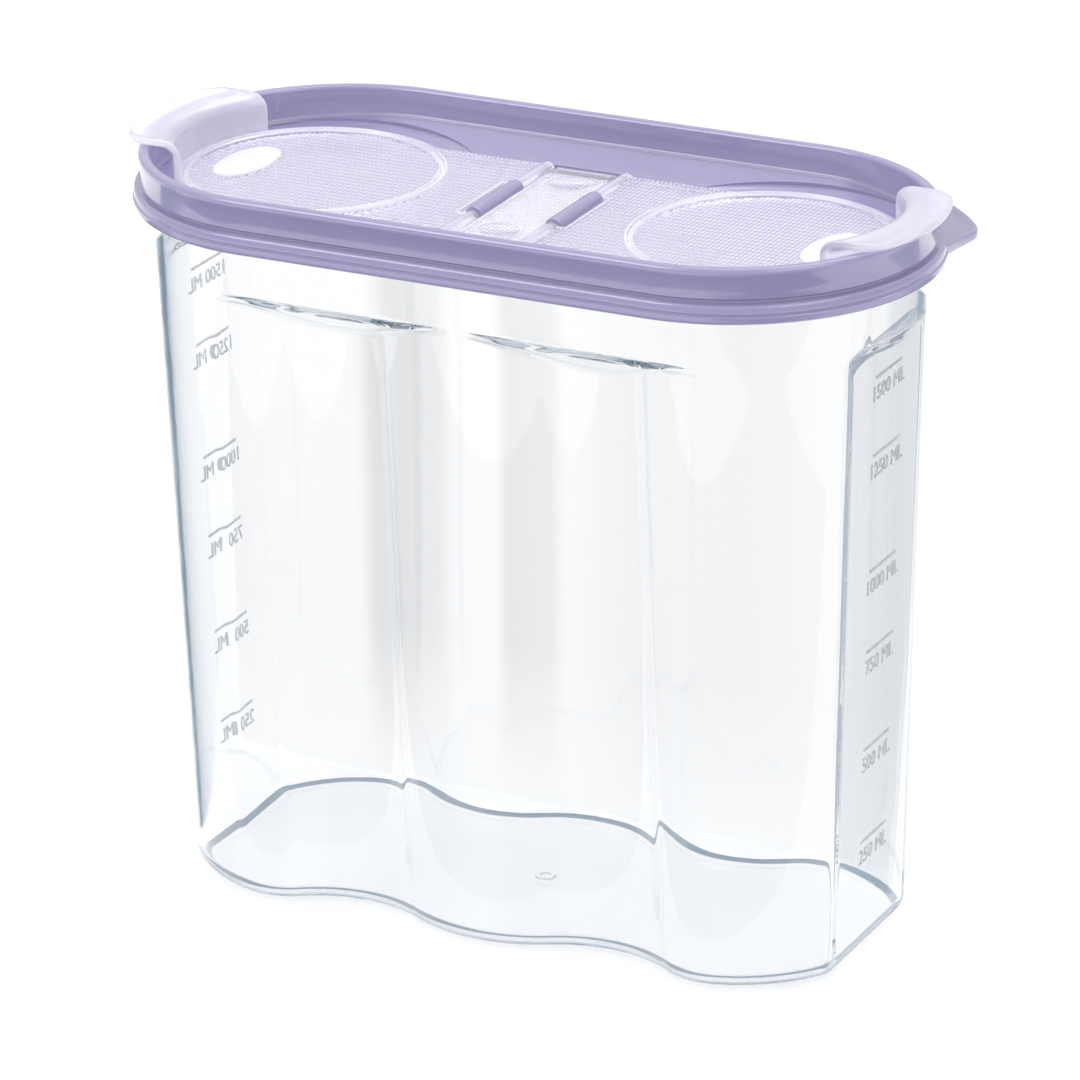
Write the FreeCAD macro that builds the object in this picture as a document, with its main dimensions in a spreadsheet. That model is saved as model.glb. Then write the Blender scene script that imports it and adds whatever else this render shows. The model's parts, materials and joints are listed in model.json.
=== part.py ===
"""Cereal dispenser: a clear fluted tub, an oval lid frame and two pour flaps.

Frame: +Z up, origin at the middle of the tub's underside, long sides along X.
"""
import FreeCAD, Part

import math
import os

import Sketcher
from FreeCAD import Placement, Rotation, Vector

# Driving dimensions in millimetres: alias, value, meaning.
DIMENSIONS = [
    # Plan shared by the tub and the lid
    ("end_center", 50.1, "X of the centre of each round end"),
    # Tub
    ("tub_height", 165.8, "top edge of the tub"),
    ("tub_half_width", 38.0, "half width of the tub across its lobes, at the floor"),
    ("wall_slope", 0.028, "outward lean of every upright wall, per mm of height"),
    ("tub_wall", 1.8, "thickness of the tub's walls"),
    ("tub_floor", 2.0, "thickness of the tub's floor"),
    ("flute_x", 31.4, "X of the middle of each flute"),
    ("flute_depth", 8.0, "depth of a flute below the lobes"),
    ("flute_radius", 28.0, "radius of a flute, at the floor"),
    ("side_lobe_radius", 16.8, "radius of the lobe between a flute and the round end, at the floor"),
    ("ledge_top", 150.0, "height at which each flute's sloping top meets the collar"),
    ("ledge_slope", 0.75, "rise of the flute's top per mm outward"),
    ("panel_x", 82.7, "X of each flat end panel at the floor"),
    ("panel_lean", 0.031, "outward lean of the end panels, per mm of height"),
    ("panel_half_width", 22.0, "half width of an end panel"),
    ("panel_top", 150.0, "top of an end panel"),
    ("panel_corner", 9.0, "radius of an end panel's upper corners"),
    ("floor_fillet", 5.0, "outer rounding between the walls and the floor"),
    # Lid frame
    ("rim_radius", 45.0, "end radius of the rim wall's outer face"),
    ("rim_wall", 2.4, "thickness of the rim wall"),
    ("rim_top", 175.0, "top of the rim wall"),
    ("rim_round", 1.0, "rounding of the rim's top edges"),
    ("skirt_radius", 46.8, "end radius of the skirt's outer face"),
    ("skirt_top", 167.1, "top of the skirt"),
    ("skirt_bottom", 162.7, "bottom of the skirt"),
    ("skirt_round", 0.7, "rounding of the skirt's bottom edge"),
    ("channel_outer", 43.3, "end radius of the outer side of the channel that takes the tub's edge"),
    ("channel_inner", 39.8, "end radius of the inner side of that channel"),
    ("channel_top", 166.2, "top of that channel"),
    ("plug_wall", 2.0, "thickness of the plug inside the channel"),
    ("plug_bottom", 162.4, "bottom of the plug"),
    ("deck_edge", 168.2, "height of the deck where it meets the rim wall"),
    ("deck_inner", 167.3, "height of the deck beside the flaps' necks"),
    ("deck_underside", 164.6, "underside of the deck"),
    ("annulus_radius", 38.0, "radius of the round recess about each flap"),
    ("annulus_level", 166.8, "surface of that recess"),
    ("seat_level", 165.8, "surface that the flaps close onto"),
    ("seat_lap", 2.8, "width of the seat under a flap's edge"),
    ("pour_half_width", 22.5, "half width of the right pour opening, which has straight sides"),
    # Flaps and strip
    ("flap_x", 56.4, "X of the middle of a flap's round end"),
    ("flap_radius", 32.2, "radius of a flap's round end"),
    ("neck_half_width", 26.7, "half width of a flap's neck"),
    ("flap_gap", 0.4, "gap round a closed flap"),
    ("flap_bottom", 166.1, "underside of a flap"),
    ("flap_thick", 1.3, "thickness of a flap"),
    ("ring_outer", 30.6, "outer radius of the raised ring"),
    ("ring_width", 1.4, "width of the raised ring"),
    ("ring_height", 0.8, "height of the raised ring"),
    ("strip_half", 7.6, "half width of the centre strip"),
    # Hinges
    ("hinge_x", 10.0, "X of each hinge axis"),
    ("hinge_z", 166.4, "height of the hinge axes"),
    ("pin_radius", 1.2, "radius of a flap's hinge pin"),
    ("bore_radius", 1.27, "radius of the bore in a hinge lug"),
    ("knuckle_radius", 1.7, "radius of a flap's knuckles"),
    ("lug_radius", 2.35, "radius of a hinge lug"),
    ("lug_half_length", 10.5, "half length of a hinge lug"),
    ("lug_gap", 0.4, "gap between a lug and the flap"),
    ("bar_half_width", 2.35, "half width of the cross bar below a hinge"),
    ("bar_top", 164.4, "top of the cross bars"),
    ("bar_bottom", 162.4, "bottom of the cross bars"),
    # Lift handles
    ("handle_wall", 1.5, "thickness of a handle's upright wall"),
    ("lip_bottom", 175.4, "underside of a handle's lip"),
    ("lip_thick", 1.8, "thickness of the lip"),
    ("lip_reach", 42.0, "radius of the lip's outer edge about the flap's round end"),
    ("lip_bend", 2.2, "outer bend radius between the wall and the lip"),
    ("handle_half_width", 20.4, "half width of a handle"),
    ("handle_sweep", 100.0, "angle swept by a handle before its ends are cut off square"),
    # Pull tab
    ("tab_angle", 47.0, "direction of the middle of the pull tab from +X, in degrees"),
    ("tab_reach", 54.5, "radius of the tab's outer edge about the round end"),
    ("tab_half_width", 15.5, "half width of the tab"),
    ("tab_corner", 6.0, "corner radius of the tab"),
    ("tab_flare", 36.0, "angle of the tab's flanks to its middle, in degrees"),
    ("tab_root", 36.0, "distance of the tab's straight inner edge from the centre of the round end"),
    ("tab_bottom", 163.6, "underside of the tab"),
    ("tab_thick", 2.2, "thickness of the tab"),
]

# Planes for sketches: rotation, and the axis along which a sketch is moved
PLANES = {
    "XY": (Rotation(), "z"),
    "XZ": (Rotation(Vector(1, 0, 0), 90), "y"),
    "YZ": (Rotation(Vector(1, 1, 1), 120), "x"),
}

doc = FreeCAD.newDocument("cereal_dispenser")


def make_sheet():
    """Put the driving dimensions in a spreadsheet with an alias for each."""
    sheet = doc.addObject("Spreadsheet::Sheet", "dims")
    for row, (alias, value, meaning) in enumerate(DIMENSIONS, start=1):
        sheet.set(f"A{row}", alias)
        sheet.set(f"B{row}", str(value))
        sheet.set(f"C{row}", meaning)
        sheet.setAlias(f"B{row}", alias)
    doc.recompute()
    return sheet


sheet = make_sheet()


def number(expression):
    """Value of an expression of the sheet's dimensions."""
    return float(sheet.evalExpression(expression))


def bind(item, expressions):
    """Bind properties of an object to expressions."""
    for name, expression in expressions.items():
        item.setExpression(name, expression)
    return item


# ---------------------------------------------------------------- sketches

def free_sketch(name, plane, offset):
    """Sketch in a plane parallel to XY, XZ or YZ."""
    rotation, axis = PLANES[plane]
    sketch = doc.addObject("Sketcher::SketchObject", name)
    sketch.Placement = Placement(Vector(0, 0, 0), rotation)
    return bind(sketch, {f"Placement.Base.{axis}": offset})


def body_sketch(body, name, plane, offset):
    """Sketch on one of a body's own origin planes, moved along the plane's normal."""
    sketch = body.newObject("Sketcher::SketchObject", name)
    support = next(item for item in body.Origin.OriginFeatures if item.Role == plane)
    sketch.AttachmentSupport = [(support, "")]
    sketch.MapMode = "FlatFace"
    return bind(sketch, {"AttachmentOffset.Base.z": offset})


def place(sketch, geometry, point, axis, expression, name):
    """Fix one coordinate of a sketch point at an expression."""
    kind = "DistanceX" if axis == "x" else "DistanceY"
    value = number(expression)
    if abs(value) < 1e-9:
        line = -2 if axis == "x" else -1
        sketch.addConstraint(Sketcher.Constraint("PointOnObject", geometry, point, line))
        return
    index = sketch.addConstraint(Sketcher.Constraint(kind, -1, 1, geometry, point, value))
    sketch.renameConstraint(index, name)
    sketch.setExpression(f"Constraints.{name}", expression)


def size_radius(sketch, geometry, expression, name):
    """Fix the radius of a circle or an arc at an expression."""
    index = sketch.addConstraint(Sketcher.Constraint("Radius", geometry, number(expression)))
    sketch.renameConstraint(index, name)
    sketch.setExpression(f"Constraints.{name}", expression)


def add_circle(sketch, x, y, radius, name):
    """Circle with its centre and radius given as expressions."""
    center = Vector(number(x), number(y), 0)
    circle = sketch.addGeometry(Part.Circle(center, Vector(0, 0, 1), number(radius)))
    place(sketch, circle, 3, "x", x, f"{name}_x")
    place(sketch, circle, 3, "y", y, f"{name}_y")
    size_radius(sketch, circle, radius, f"{name}_radius")


def add_slot(sketch, radius):
    """Slot outline along X with round ends about the shared end centres."""
    r = number(radius)
    x = number("dims.end_center")
    axis = Vector(0, 0, 1)
    right = sketch.addGeometry(
        Part.ArcOfCircle(Part.Circle(Vector(x, 0, 0), axis, r), -math.pi / 2, math.pi / 2))
    top = sketch.addGeometry(Part.LineSegment(Vector(x, r, 0), Vector(-x, r, 0)))
    left = sketch.addGeometry(
        Part.ArcOfCircle(Part.Circle(Vector(-x, 0, 0), axis, r), math.pi / 2, 3 * math.pi / 2))
    bottom = sketch.addGeometry(Part.LineSegment(Vector(-x, -r, 0), Vector(x, -r, 0)))
    for first, second in ((right, top), (top, left), (left, bottom), (bottom, right)):
        sketch.addConstraint(Sketcher.Constraint("Tangent", first, 2, second, 1))
    sketch.addConstraint(Sketcher.Constraint("Equal", right, left))
    place(sketch, right, 3, "y", "0", "")
    place(sketch, left, 3, "y", "0", "")
    place(sketch, right, 3, "x", "dims.end_center", "right_center")
    place(sketch, left, 3, "x", "-dims.end_center", "left_center")
    size_radius(sketch, right, radius, "end_radius")


def bend_center(start, end, radius):
    """Centre of the arc from start to end; a positive radius turns left."""
    middle = (start + end) * 0.5
    half = (end - start) * 0.5
    height = math.sqrt(max(radius * radius - half.Length ** 2, 0.0))
    normal = Vector(-half.y, half.x, 0).normalize()
    return middle + normal * (height if radius > 0 else -height)


def add_outline(sketch, corners):
    """Closed outline through corners (x, y, radius of the edge that follows, or None for a line).

    Coordinates and radii are expressions. A radius beginning with "-" is an arc that turns right.
    """
    points = [Vector(number(x), number(y), 0) for x, y, _ in corners]
    edges = []
    for index, (_, _, radius) in enumerate(corners):
        start = points[index]
        end = points[(index + 1) % len(points)]
        if radius is None:
            edges.append((sketch.addGeometry(Part.LineSegment(start, end)), 1, 2))
            continue
        turn = number(radius)
        center = bend_center(start, end, turn)
        circle = Part.Circle(center, Vector(0, 0, 1), abs(turn))
        angles = [math.atan2(p.y - center.y, p.x - center.x) for p in (start, end)]
        ends = (1, 2)
        if turn < 0:
            angles.reverse()
            ends = (2, 1)
        arc = sketch.addGeometry(Part.ArcOfCircle(circle, *angles))
        edges.append((arc, *ends))
    for index, (edge, first, last) in enumerate(edges):
        following, next_first, _ = edges[(index + 1) % len(edges)]
        sketch.addConstraint(Sketcher.Constraint("Coincident", edge, last, following, next_first))
        x, y, radius = corners[index]
        place(sketch, edge, first, "x", x, f"x_{index}")
        place(sketch, edge, first, "y", y, f"y_{index}")
        if radius is not None:
            size_radius(sketch, edge, radius.lstrip("-"), f"radius_{index}")


# ---------------------------------------------------------------- solids

def extrude(name, sketch, length, direction):
    """Solid from a sketch along a direction."""
    solid = doc.addObject("Part::Extrusion", name)
    solid.Base = sketch
    solid.DirMode = "Custom"
    solid.Dir = direction
    solid.Solid = True
    return bind(solid, {"LengthFwd": length})


def slot_prism(name, radius, low, high):
    """Upright solid with the slot outline."""
    sketch = free_sketch(f"{name}_outline", "XY", low)
    add_slot(sketch, radius)
    return extrude(name, sketch, f"{high} - ({low})", Vector(0, 0, 1))


def loft(name, sketches):
    """Ruled solid between sketches."""
    solid = doc.addObject("Part::Loft", name)
    solid.Sections = sketches
    solid.Solid = True
    solid.Ruled = True
    return solid


def box(name, sizes, corner):
    """Box with its sizes and lowest corner given as expressions."""
    solid = doc.addObject("Part::Box", name)
    names = ("Length", "Width", "Height", "Placement.Base.x", "Placement.Base.y", "Placement.Base.z")
    return bind(solid, dict(zip(names, sizes + corner)))


def disc(name, radius, x, low, high):
    """Upright cylinder centred on the X axis."""
    solid = doc.addObject("Part::Cylinder", name)
    return bind(solid, {"Radius": radius, "Height": f"{high} - ({low})",
                        "Placement.Base.x": x, "Placement.Base.z": low})


def rod(name, radius, half_length, x):
    """Cylinder along Y on a hinge axis."""
    solid = doc.addObject("Part::Cylinder", name)
    solid.Placement = Placement(Vector(0, 0, 0), Rotation(Vector(1, 0, 0), -90))
    return bind(solid, {"Radius": radius, "Height": f"2 * {half_length}", "Placement.Base.x": x,
                        "Placement.Base.y": f"-{half_length}", "Placement.Base.z": "dims.hinge_z"})


def fuse(name, shapes):
    """One solid from several."""
    solid = doc.addObject("Part::MultiFuse", name)
    solid.Shapes = shapes
    solid.Refine = True
    return solid


def common(name, shapes):
    """What several solids share."""
    solid = doc.addObject("Part::MultiCommon", name)
    solid.Shapes = shapes
    return solid


def cut(name, base, tool):
    """A solid with another taken out of it."""
    solid = doc.addObject("Part::Cut", name)
    solid.Base = base
    solid.Tool = tool
    solid.Refine = True
    return solid


def mirror(name, source, normal):
    """Mirror image in a plane through the origin."""
    solid = doc.addObject("Part::Mirroring", name)
    solid.Source = source
    solid.Normal = normal
    return solid


def round_edges(name, base, radius, wanted):
    """Fillet the edges of a solid that a test picks."""
    doc.recompute()
    chosen = [index for index, edge in enumerate(base.Shape.Edges, start=1) if wanted(edge)]
    if not chosen:
        raise RuntimeError(f"{name}: no edges to round")
    solid = doc.addObject("Part::Fillet", name)
    solid.Base = base
    solid.Edges = [(index, number(radius), number(radius)) for index in chosen]
    doc.recompute()
    return solid


# ---------------------------------------------------------------- tub

def lobe_centers():
    """Centres of a flute and of the side lobe that is tangent to it and to the round end."""
    half_width = number("dims.tub_half_width")
    flute_radius = number("dims.flute_radius")
    lobe_radius = number("dims.side_lobe_radius")
    flute = Vector(number("dims.flute_x"), half_width - number("dims.flute_depth") + flute_radius, 0)
    end = Vector(number("dims.end_center"), 0, 0)
    to_flute = flute_radius + lobe_radius
    to_end = half_width - lobe_radius
    span = (flute - end).Length
    along = (to_end ** 2 - to_flute ** 2 + span ** 2) / (2 * span)
    across = math.sqrt(to_end ** 2 - along ** 2)
    direction = (flute - end).normalize()
    lobe = end + direction * along + Vector(direction.y, -direction.x, 0) * across
    return flute, lobe


def fluted_quarter(name, grow, height):
    """A quarter of the fluted plan: centre lobe, flute, side lobe and round end.

    grow is how far the walls stand outside the plan at the floor.
    """
    sketch = free_sketch(name, "XY", height)
    extra = number(grow)
    flute_center, lobe_center = lobe_centers()
    half_width = number("dims.tub_half_width") + extra
    end_center = Vector(number("dims.end_center"), 0, 0)
    flute_radius = number("dims.flute_radius") - extra
    lobe_radius = number("dims.side_lobe_radius") + extra
    depth = number("dims.flute_depth")
    middle_radius = (flute_center.x ** 2 + depth ** 2) / (2 * depth) - flute_radius
    middle_center = Vector(0, half_width - middle_radius, 0)

    def toward(center, target, radius):
        return center + (target - center).normalize() * radius

    def arc(center, radius, first, last):
        turn = [math.atan2(point.y - center.y, point.x - center.x) for point in (first, last)]
        circle = Part.Circle(center, Vector(0, 0, 1), radius)
        return sketch.addGeometry(Part.ArcOfCircle(circle, *turn))

    crest = Vector(0, half_width, 0)
    tip = Vector(end_center.x + half_width, 0, 0)
    into_flute = toward(flute_center, middle_center, flute_radius)
    out_of_flute = toward(flute_center, lobe_center, flute_radius)
    into_end = toward(end_center, lobe_center, half_width)
    up = sketch.addGeometry(Part.LineSegment(Vector(0, 0, 0), crest))
    middle = arc(middle_center, middle_radius, into_flute, crest)
    flute = arc(flute_center, flute_radius, into_flute, out_of_flute)
    lobe = arc(lobe_center, lobe_radius, into_end, out_of_flute)
    end = arc(end_center, half_width, tip, into_end)
    back = sketch.addGeometry(Part.LineSegment(tip, Vector(0, 0, 0)))
    for kind, first, first_end, second, second_end in (
            ("Coincident", up, 1, -1, 1),
            ("Coincident", back, 2, -1, 1),
            ("Coincident", up, 2, middle, 2),
            ("Tangent", middle, 1, flute, 1),
            ("Tangent", flute, 2, lobe, 2),
            ("Tangent", lobe, 1, end, 2),
            ("Coincident", end, 1, back, 1)):
        sketch.addConstraint(Sketcher.Constraint(kind, first, first_end, second, second_end))
    sketch.addConstraint(Sketcher.Constraint("Horizontal", back))
    place(sketch, middle, 3, "x", "0", "")
    place(sketch, end, 3, "y", "0", "")
    place(sketch, up, 2, "x", "0", "")
    place(sketch, up, 2, "y", f"dims.tub_half_width + {grow}", "half_width")
    place(sketch, flute, 3, "x", "dims.flute_x", "flute_x")
    place(sketch, flute, 3, "y", "dims.tub_half_width - dims.flute_depth + dims.flute_radius", "flute_y")
    place(sketch, end, 3, "x", "dims.end_center", "end_center")
    size_radius(sketch, flute, f"dims.flute_radius - ({grow})", "flute_radius")
    size_radius(sketch, lobe, f"dims.side_lobe_radius + {grow}", "side_lobe_radius")
    size_radius(sketch, end, f"dims.tub_half_width + {grow}", "end_radius")
    return sketch


def tub_form(name, inset, low, fillet):
    """Solid with the tub's outer shape, or its inside when inset by the wall."""
    sections = []
    envelopes = []
    for level, height in (("low", low), ("high", "dims.tub_height")):
        grow = f"dims.wall_slope * {height} - {inset}"
        sections.append(fluted_quarter(f"{name}_plan_{level}", grow, height))
        slot = free_sketch(f"{name}_slot_{level}", "XY", height)
        add_slot(slot, f"dims.tub_half_width + {grow}")
        envelopes.append(slot)
    quarter = loft(f"{name}_quarter", sections)
    quarter_left = mirror(f"{name}_quarter_left", quarter, Vector(1, 0, 0))
    half = fuse(f"{name}_half", [quarter, quarter_left])
    half_front = mirror(f"{name}_half_front", half, Vector(0, 1, 0))

    # Above the flutes' sloping tops the plan is the plain slot.
    envelope = loft(f"{name}_envelope", envelopes)
    profile = free_sketch(f"{name}_ledge_profile", "YZ", "-2 * dims.end_center")
    wide = "1.5 * dims.tub_half_width"
    collar_half_width = "(dims.tub_half_width + dims.wall_slope * dims.ledge_top)"
    upright_wall = f"sqrt(1 + dims.ledge_slope ^ 2) * {inset}"
    valley = f"dims.ledge_top - dims.ledge_slope * {collar_half_width} + {upright_wall}"
    shoulder = f"{valley} + dims.ledge_slope * {wide}"
    add_outline(profile, [("0", valley, None), (wide, shoulder, None),
                          (wide, "2 * dims.tub_height", None), (f"-{wide}", "2 * dims.tub_height", None),
                          (f"-{wide}", shoulder, None)])
    above = extrude(f"{name}_above_ledges", profile, "4 * dims.end_center", Vector(1, 0, 0))
    collar = common(f"{name}_collar", [envelope, above])
    whole = fuse(f"{name}_whole", [half, half_front, collar])

    # Flat end panels with rounded upper corners
    side = free_sketch(f"{name}_panel_side", "XZ", "dims.tub_half_width")
    far = "2.5 * dims.end_center"
    below = "-dims.tub_floor"
    add_outline(side, [(f"dims.panel_x - {inset} - dims.tub_floor * dims.panel_lean", below, None),
                       (far, below, None),
                       (far, "dims.tub_height", None),
                       (f"dims.panel_x - {inset} + dims.tub_height * dims.panel_lean", "dims.tub_height",
                        None)])
    slab = extrude(f"{name}_panel_slab", side, "2 * dims.tub_half_width", Vector(0, -1, 0))
    window = free_sketch(f"{name}_panel_window", "YZ", "dims.end_center")
    half_panel = f"(dims.panel_half_width + {inset})"
    corner = f"(dims.panel_corner + {inset})"
    shoulder_z = "dims.panel_top - dims.panel_corner"
    top = f"dims.panel_top + {inset}"
    add_outline(window, [(f"-{half_panel}", below, None), (half_panel, below, None),
                         (half_panel, shoulder_z, corner), (f"{half_panel} - {corner}", top, None),
                         (f"{corner} - {half_panel}", top, corner), (f"-{half_panel}", shoulder_z, None)])
    rounded = extrude(f"{name}_panel_rounded", window, "2 * dims.end_center", Vector(1, 0, 0))
    right_panel = common(f"{name}_right_panel", [slab, rounded])
    left_panel = mirror(f"{name}_left_panel", right_panel, Vector(1, 0, 0))
    flat = cut(f"{name}_with_panel", whole, right_panel)
    flats = cut(f"{name}_with_panels", flat, left_panel)
    level = number(low)
    return round_edges(f"{name}_rounded", flats, fillet,
                       lambda edge: edge.BoundBox.ZMax < level + 0.01)


def make_container():
    """Clear tub: the outer form less the inner one."""
    outer = tub_form("tub_outer", "0", "0", "dims.floor_fillet")
    inner = tub_form("tub_inner", "dims.tub_wall", "dims.tub_floor",
                     "dims.floor_fillet - dims.tub_wall")
    return cut("container", outer, inner)


# ---------------------------------------------------------------- lid frame

def flap_void(name, sides, disc_radius, neck_half_width, low):
    """Space over a level, shaped like the flaps' round ends and necks."""
    pieces = [disc(f"{name}_{side}_disc", disc_radius, f"{sign}dims.flap_x", low, "dims.rim_top + 1")
              for side, sign in sides]
    neck = box(f"{name}_neck", ["2 * dims.flap_x", f"2 * {neck_half_width}", f"dims.rim_top + 1 - ({low})"],
               ["-dims.flap_x", f"-{neck_half_width}", low])
    return fuse(name, pieces + [neck])


def make_lid_frame():
    """Lavender frame: rim wall, skirt, plug, deck with seats and openings, cross bars and lugs."""
    both = (("right", ""), ("left", "-"))
    rim = slot_prism("lid_rim", "dims.rim_radius", "dims.skirt_bottom", "dims.rim_top")
    skirt = slot_prism("lid_skirt", "dims.skirt_radius", "dims.skirt_bottom", "dims.skirt_top")
    outside = fuse("lid_outside", [rim, skirt, make_tab()])

    # Well above the deck, whose top slopes down towards the flaps
    well = slot_prism("lid_well", "dims.rim_radius - dims.rim_wall", "dims.plug_bottom", "dims.rim_top + 1")
    profile = free_sketch("lid_deck_profile", "YZ", "-2 * dims.end_center")
    inner = "(dims.neck_half_width + dims.flap_gap)"
    outer = "(dims.rim_radius - dims.rim_wall)"
    add_outline(profile, [(inner, "dims.deck_inner", None), (outer, "dims.deck_edge", None),
                          (outer, "dims.rim_top + 1", None), (f"-{outer}", "dims.rim_top + 1", None),
                          (f"-{outer}", "dims.deck_edge", None), (f"-{inner}", "dims.deck_inner", None)])
    above_deck = extrude("lid_above_deck", profile, "4 * dims.end_center", Vector(1, 0, 0))
    recess = flap_void("lid_recess", both, "dims.annulus_radius", inner, "dims.annulus_level")
    open_top = fuse("lid_open_top", [above_deck, recess])
    inside = common("lid_inside", [well, open_top])
    seats = flap_void("lid_seats", both, "(dims.flap_radius + dims.flap_gap)", inner, "dims.seat_level")

    # Channel that takes the tub's edge, and the hollow under the deck
    channel_core = slot_prism("lid_channel_core", "dims.channel_inner", "dims.skirt_bottom - 1",
                              "dims.channel_top")
    channel_block = slot_prism("lid_channel_block", "dims.channel_outer", "dims.skirt_bottom - 1",
                               "dims.channel_top")
    channel = cut("lid_channel", channel_block, channel_core)
    plug = slot_prism("lid_plug", "dims.channel_inner", "dims.plug_bottom", "dims.channel_top")
    underside = slot_prism("lid_underside", "dims.channel_inner - dims.plug_wall", "dims.plug_bottom - 1",
                           "dims.deck_underside")

    # Pour openings: a full round on the left, one with straight sides on the right
    hole_radius = "(dims.flap_radius - dims.seat_lap)"
    left_hole = disc("lid_left_hole", hole_radius, "-dims.flap_x", "dims.plug_bottom", "dims.rim_top")
    right_round = disc("lid_right_round", hole_radius, "dims.flap_x", "dims.plug_bottom", "dims.rim_top")
    right_band = box("lid_right_band",
                     [f"2 * {hole_radius}", "2 * dims.pour_half_width", "dims.rim_top - dims.plug_bottom"],
                     [f"dims.flap_x - {hole_radius}", "-dims.pour_half_width", "dims.plug_bottom"])
    right_hole = common("lid_right_hole", [right_round, right_band])
    neck_half = "(dims.neck_half_width - dims.seat_lap)"
    neck_end = f"(dims.flap_x - sqrt({hole_radius} ^ 2 - {neck_half} ^ 2))"
    neck_hole = box("lid_neck_hole",
                    [f"2 * {neck_end}", f"2 * {neck_half}", "dims.rim_top - dims.plug_bottom"],
                    [f"-{neck_end}", f"-{neck_half}", "dims.plug_bottom"])
    notch_half = "(dims.knuckle_radius + dims.flap_gap)"
    notches = [box(f"lid_{side}_notch",
                   [f"2 * {notch_half}", f"2 * {inner}", "dims.rim_top - dims.bar_top"],
                   [f"{sign}dims.hinge_x - {notch_half}", f"-{inner}", "dims.bar_top"])
               for side, sign in both]
    voids = fuse("lid_voids", [inside, seats, channel, underside, left_hole, right_hole, neck_hole]
                 + notches)
    block = fuse("lid_block", [outside, plug])
    ring = cut("lid_ring", block, voids)
    rim_top = number("dims.rim_top")
    skirt_bottom = number("dims.skirt_bottom")
    skirt_radius = number("dims.skirt_radius")
    rounded_rim = round_edges("lid_rim_rounded", ring, "dims.rim_round",
                              lambda edge: edge.BoundBox.ZMin > rim_top - 0.01)
    rounded = round_edges("lid_ring_rounded", rounded_rim, "dims.skirt_round",
                          lambda edge: edge.BoundBox.ZMax < skirt_bottom + 0.01
                          and max(edge.BoundBox.YMax, -edge.BoundBox.YMin) > skirt_radius - 0.01)

    # Cross bars under the hinges, each with a bored lug
    pieces = [rounded]
    bores = []
    for side, sign in both:
        x = f"{sign}dims.hinge_x"
        reach = "(dims.channel_inner - dims.plug_wall / 2)"
        pieces.append(box(f"lid_{side}_bar",
                          ["2 * dims.bar_half_width", f"2 * {reach}", "dims.bar_top - dims.bar_bottom"],
                          [f"{x} - dims.bar_half_width", f"-{reach}", "dims.bar_bottom"]))
        pieces.append(rod(f"lid_{side}_lug", "dims.lug_radius", "dims.lug_half_length", x))
        pieces.append(box(f"lid_{side}_lug_foot",
                          ["2 * dims.lug_radius", "2 * dims.lug_half_length",
                           "dims.hinge_z - dims.bar_bottom"],
                          [f"{x} - dims.lug_radius", "-dims.lug_half_length", "dims.bar_bottom"]))
        bores.append(rod(f"lid_{side}_bore", "dims.bore_radius", "(dims.lug_half_length + 1)", x))
    solid = fuse("lid_solid", pieces)
    return cut("lid_frame", solid, fuse("lid_bores", bores))


def make_tab():
    """Pull tab: a thin flared tongue standing out of the skirt at the back right corner."""
    sketch = free_sketch("lid_tab_outline", "XY", "dims.tab_bottom")
    corner = "dims.tab_corner"
    corner_y = f"(dims.tab_half_width - {corner})"
    corner_x = f"sqrt((dims.tab_reach - {corner}) ^ 2 - {corner_y} ^ 2)"
    outward = f"dims.tab_reach / (dims.tab_reach - {corner})"
    flank_x = f"({corner_x} + {corner} * sin(dims.tab_flare))"
    flank_y = f"({corner_y} + {corner} * cos(dims.tab_flare))"
    root_y = f"({flank_y} + ({flank_x} - dims.tab_root) * tan(dims.tab_flare))"
    add_outline(sketch, [("dims.tab_root", f"-{root_y}", None),
                         (flank_x, f"-{flank_y}", corner),
                         (f"{corner_x} * {outward}", f"-{corner_y} * {outward}", "dims.tab_reach"),
                         (f"{corner_x} * {outward}", f"{corner_y} * {outward}", corner),
                         (flank_x, flank_y, None),
                         ("dims.tab_root", root_y, None)])
    straight = extrude("lid_tab_straight", sketch, "dims.tab_thick", Vector(0, 0, 1))
    tab = doc.addObject("Part::Compound", "lid_tab")
    tab.Links = [straight]
    tab.Placement = Placement(Vector(0, 0, 0), Rotation(Vector(0, 0, 1), 0))
    bind(tab, {"Placement.Rotation.Angle": "dims.tab_angle", "Placement.Base.x": "dims.end_center"})
    return tab


# ---------------------------------------------------------------- flaps and strip

def pad(body, sketch, length):
    """Pad of a sketch along its normal."""
    feature = body.newObject("PartDesign::Pad", f"{sketch.Name}_pad")
    feature.Profile = sketch
    bind(feature, {"Length": length})
    sketch.Visibility = False
    return feature


def pocket(body, sketch, reach):
    """Pocket of a sketch to both sides of its plane; raises when it takes nothing away."""
    doc.recompute()
    before = body.Shape.Volume
    feature = body.newObject("PartDesign::Pocket", f"{sketch.Name}_pocket")
    feature.Profile = sketch
    feature.Midplane = True
    bind(feature, {"Length": reach})
    doc.recompute()
    if body.Shape.Volume > before - 0.01:
        raise RuntimeError(f"{feature.Name} cuts nothing")
    return feature


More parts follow.
